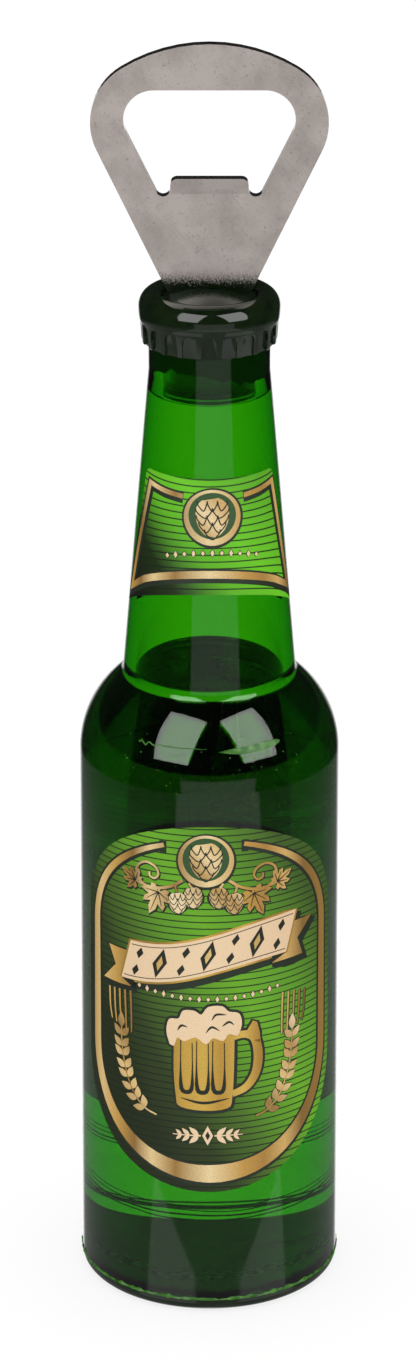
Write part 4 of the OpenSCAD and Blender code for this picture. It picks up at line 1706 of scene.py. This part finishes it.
@dataclass
class Studio:
    """A pale floor, a white room, a dark front for the gloss to mirror, and two soft boxes."""

    eye: tuple[float, float, float] = (-0.00024, -0.850, 0.4513)
    tilt: float = 68.2
    lens: float = 137.6
    floor_half: float = 3.0
    floor_tone: str = "#FFFFFF"
    room: float = 1.0
    box_wide: float = 0.40
    box_tall: float = 0.64
    box_away: float = 0.65
    box_turns: tuple[float, float] = (-34.5, 46.5)
    box_rise: float = 36.5
    box_glow: float = 4.3
    aim_z: float = 0.11
    panel_turn: float = 7.8
    panel_glow: float = 0.5
    haze: float = 0.02
    low_haze: float = 0.3
    floor_glow: float = 1.05
    floor_matt: float = 0.25
    bounces: int = 24

    def camera(self) -> None:
        """Sets up the camera."""
        data = bpy.data.cameras.new("camera")
        data.lens, data.sensor_width = self.lens, 36.0
        eye = bpy.data.objects.new("camera", data)
        eye.location = self.eye
        eye.rotation_euler = (math.radians(self.tilt), 0.0, 0.0)
        bpy.context.scene.collection.objects.link(eye)
        bpy.context.scene.camera = eye

    def floor(self) -> None:
        """Lays the floor: most of it glows evenly, so that it is white, and the rest takes a faint shadow."""
        deselect()
        bpy.ops.mesh.primitive_grid_add(x_subdivisions=8, y_subdivisions=8, size=2 * self.floor_half)
        floor = bpy.context.object
        floor.name = "floor"
        material, tree = new_tree("pale_matt_floor")
        glow = add_node(tree, "Emission", {"Color": linear(self.floor_tone), "Strength": self.floor_glow})
        matt = add_node(tree, "BsdfDiffuse", {"Color": linear(self.floor_tone)})
        both = add_node(tree, "MixShader", {0: self.floor_matt}, {1: glow.outputs[0], 2: matt.outputs[0]})
        add_node(tree, "OutputMaterial", links={"Surface": both.outputs[0]})
        floor.data.materials.append(material)
        floor.visible_glossy = False

    def soft_boxes(self) -> None:
        """Hangs the two soft boxes."""
        for side in self.box_turns:
            data = bpy.data.lights.new("soft_box", "AREA")
            data.shape, data.size, data.size_y = "RECTANGLE", self.box_wide, self.box_tall
            data.energy = self.box_glow * math.pi * self.box_wide * self.box_tall
            box = bpy.data.objects.new("soft_box", data)
            box.visible_diffuse = False
            turn, rise = math.radians(side), math.radians(self.box_rise)
            level = math.cos(rise)
            away = Vector((math.sin(turn) * level, -math.cos(turn) * level, math.sin(rise)))
            box.location = Vector((0, 0, self.aim_z)) + away * self.box_away
            box.rotation_euler = away.to_track_quat("Z", "Y").to_euler()
            bpy.context.scene.collection.objects.link(box)

    def front_panel(self, tree: bpy.types.NodeTree, turn: bpy.types.NodeSocket,
                    rise: bpy.types.NodeSocket) -> bpy.types.NodeSocket:
        """Paints the panel in front of the bottle, below eye level.

        It is 65 degrees wide as the neck mirrors it, 83 at the shoulder and 151 at the foot, where the
        floor's edge leaves an arch in its middle dark.

        Args:
            tree: the world's node tree.
            turn: the angle round the bottle, from the front.
            rise: the angle above the horizon.

        Returns:
            One in the panel and nought outside it.
        """
        def graded(high: float, low: float, above: float, below: float) -> bpy.types.NodeSocket:
            """An angle that goes from one value to another between two heights, all in degrees."""
            return add_node(tree, "MapRange", {
                "From Min": math.radians(high), "From Max": math.radians(low),
                "To Min": math.radians(above), "To Max": math.radians(below)}, {"Value": rise}).outputs[0]

        off = add_node(tree, "Math", {"operation": "SUBTRACT", 1: math.radians(self.panel_turn)},
                       {0: turn}).outputs[0]
        off = add_node(tree, "Math", {"operation": "ABSOLUTE"}, {0: off}).outputs[0]
        half = add_node(tree, "Math", {"operation": "ADD"}, {
            0: graded(-21.0, -23.0, 32.5, 41.5), 1: graded(-23.0, -30.0, 0.0, 34.0)}).outputs[0]
        arch_half = graded(-27.8, -26.7, 20.0, 54.0)
        parts = []
        for reach, across_soft, band in ((half, 3, (-40, -7, 4)), (arch_half, 4, (-60, -25, 1.6))):
            past = add_node(tree, "Math", {"operation": "SUBTRACT"}, {0: off, 1: reach}).outputs[0]
            parts.append(add_node(tree, "Math", {"operation": "MULTIPLY"}, {
                0: window(tree, past, -200, 0, across_soft), 1: window(tree, rise, *band)}).outputs[0])
        return add_node(tree, "Math", {"operation": "SUBTRACT", "use_clamp": True},
                        {0: parts[0], 1: parts[1]}).outputs[0]

    def room_light(self) -> None:
        """Paints the room: white to the eye and to matt surfaces, mostly dark to gloss and glass."""
        world = bpy.data.worlds.new("studio")
        bpy.context.scene.world = world
        world.use_nodes = True
        world.cycles.sampling_method = "NONE"
        tree = world.node_tree
        tree.nodes.clear()
        way = add_node(tree, "SeparateXYZ", links={"Vector": add_node(tree, "TexCoord").outputs["Generated"]})
        x, y, z = (way.outputs[i] for i in range(3))
        front = add_node(tree, "Math", {"operation": "MULTIPLY", 1: -1.0}, {0: y}).outputs[0]
        turn = add_node(tree, "Math", {"operation": "ARCTAN2"}, {0: x, 1: front}).outputs[0]
        rise = add_node(tree, "Math", {"operation": "ARCSINE"}, {0: z}).outputs[0]
        away = add_node(tree, "Math", {"operation": "ABSOLUTE"}, {0: turn}).outputs[0]
        path = add_node(tree, "LightPath")
        glossy = path.outputs["Is Glossy Ray"]
        # the panel behind is wide and low for glass to look through, and only a rim of it shows in gloss
        through, rim = (add_node(tree, "Math", {"operation": "MULTIPLY"}, {
            0: window(tree, away, *across), 1: window(tree, rise, *up)}).outputs[0]
            for across, up in (((146, 200, 24), (-95, 20, 12)), ((162, 200, 18), (-95, -9, 8))))
        back_panel = add_node(tree, "Mix", {"data_type": "FLOAT"}, {0: glossy, 2: through, 3: rim}).outputs[0]
        haze = add_node(tree, "MapRange", {
            "From Min": math.radians(-21.0), "From Max": math.radians(-24.0), "To Min": self.haze,
            "To Max": self.low_haze}, {"Value": rise}).outputs[0]
        haze = add_node(tree, "Mix", {"data_type": "FLOAT", 2: self.haze}, {0: glossy, 3: haze}).outputs[0]
        lit = add_node(tree, "Math", {"operation": "MULTIPLY_ADD", 1: self.panel_glow},
                       {0: self.front_panel(tree, turn, rise), 2: haze}).outputs[0]
        lit = add_node(tree, "Math", {"operation": "ADD"}, {0: lit, 1: back_panel}).outputs[0]
        gloss = add_node(tree, "Math", {"operation": "MAXIMUM"}, {
            0: glossy, 1: path.outputs["Is Transmission Ray"]}).outputs[0]
        seen = add_node(tree, "Mix", {"data_type": "FLOAT", 2: self.room, 3: 1.0},
                        {0: path.outputs["Is Camera Ray"]}).outputs[0]
        strength = add_node(tree, "Mix", {"data_type": "FLOAT"}, {0: gloss, 2: seen, 3: lit}).outputs[0]
        light = add_node(tree, "Background", {"Color": (1, 1, 1, 1)}, {"Strength": strength})
        add_node(tree, "OutputWorld", links={"Surface": light.outputs[0]})

    def build(self) -> None:
        """Sets up camera, floor and light."""
        self.camera()
        self.floor()
        self.soft_boxes()
        self.room_light()
        scene = bpy.context.scene
        scene.view_settings.view_transform = "Standard"
        scene.cycles.max_bounces = scene.cycles.transmission_bounces = self.bounces
        scene.cycles.glossy_bounces = self.bounces // 2
        scene.cycles.sample_clamp_indirect = 4.0


def main() -> None:
    """Builds the object and its studio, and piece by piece."""
    logging.basicConfig(level=logging.INFO, format="%(message)s")
    low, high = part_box("bottle_body")
    shape = BottleShape(seam_z=low.z / MM, foot_r=high.x / MM, rim_z=high.z / MM)
    Studio().build()
    bottle = Bottle(shape)
    bottle.build()
    Filling(shape).build()
    Closure(shape).build(bpy.data.materials[bottle.plastic.name], bpy.data.materials[bottle.dark.name])
    OpenerPlate().build()
    for side, node, film in ((Side.FRONT, "body_label", BODY_FILM), (Side.BACK, "back_label", BACK_FILM)):
        BodyLabel(f"{side.name.lower()}_label", node, shape, film, side).build()
    NeckLabel("throat_label", "neck_label", shape, NECK_FILM).build()
    ShoulderMarksAndHighlight("shoulder_marks_and_painted_highlight", "bottle_body", shape, bottle.glue, slot="bottle_plastic").build()


if __name__ == "__main__":
    main()
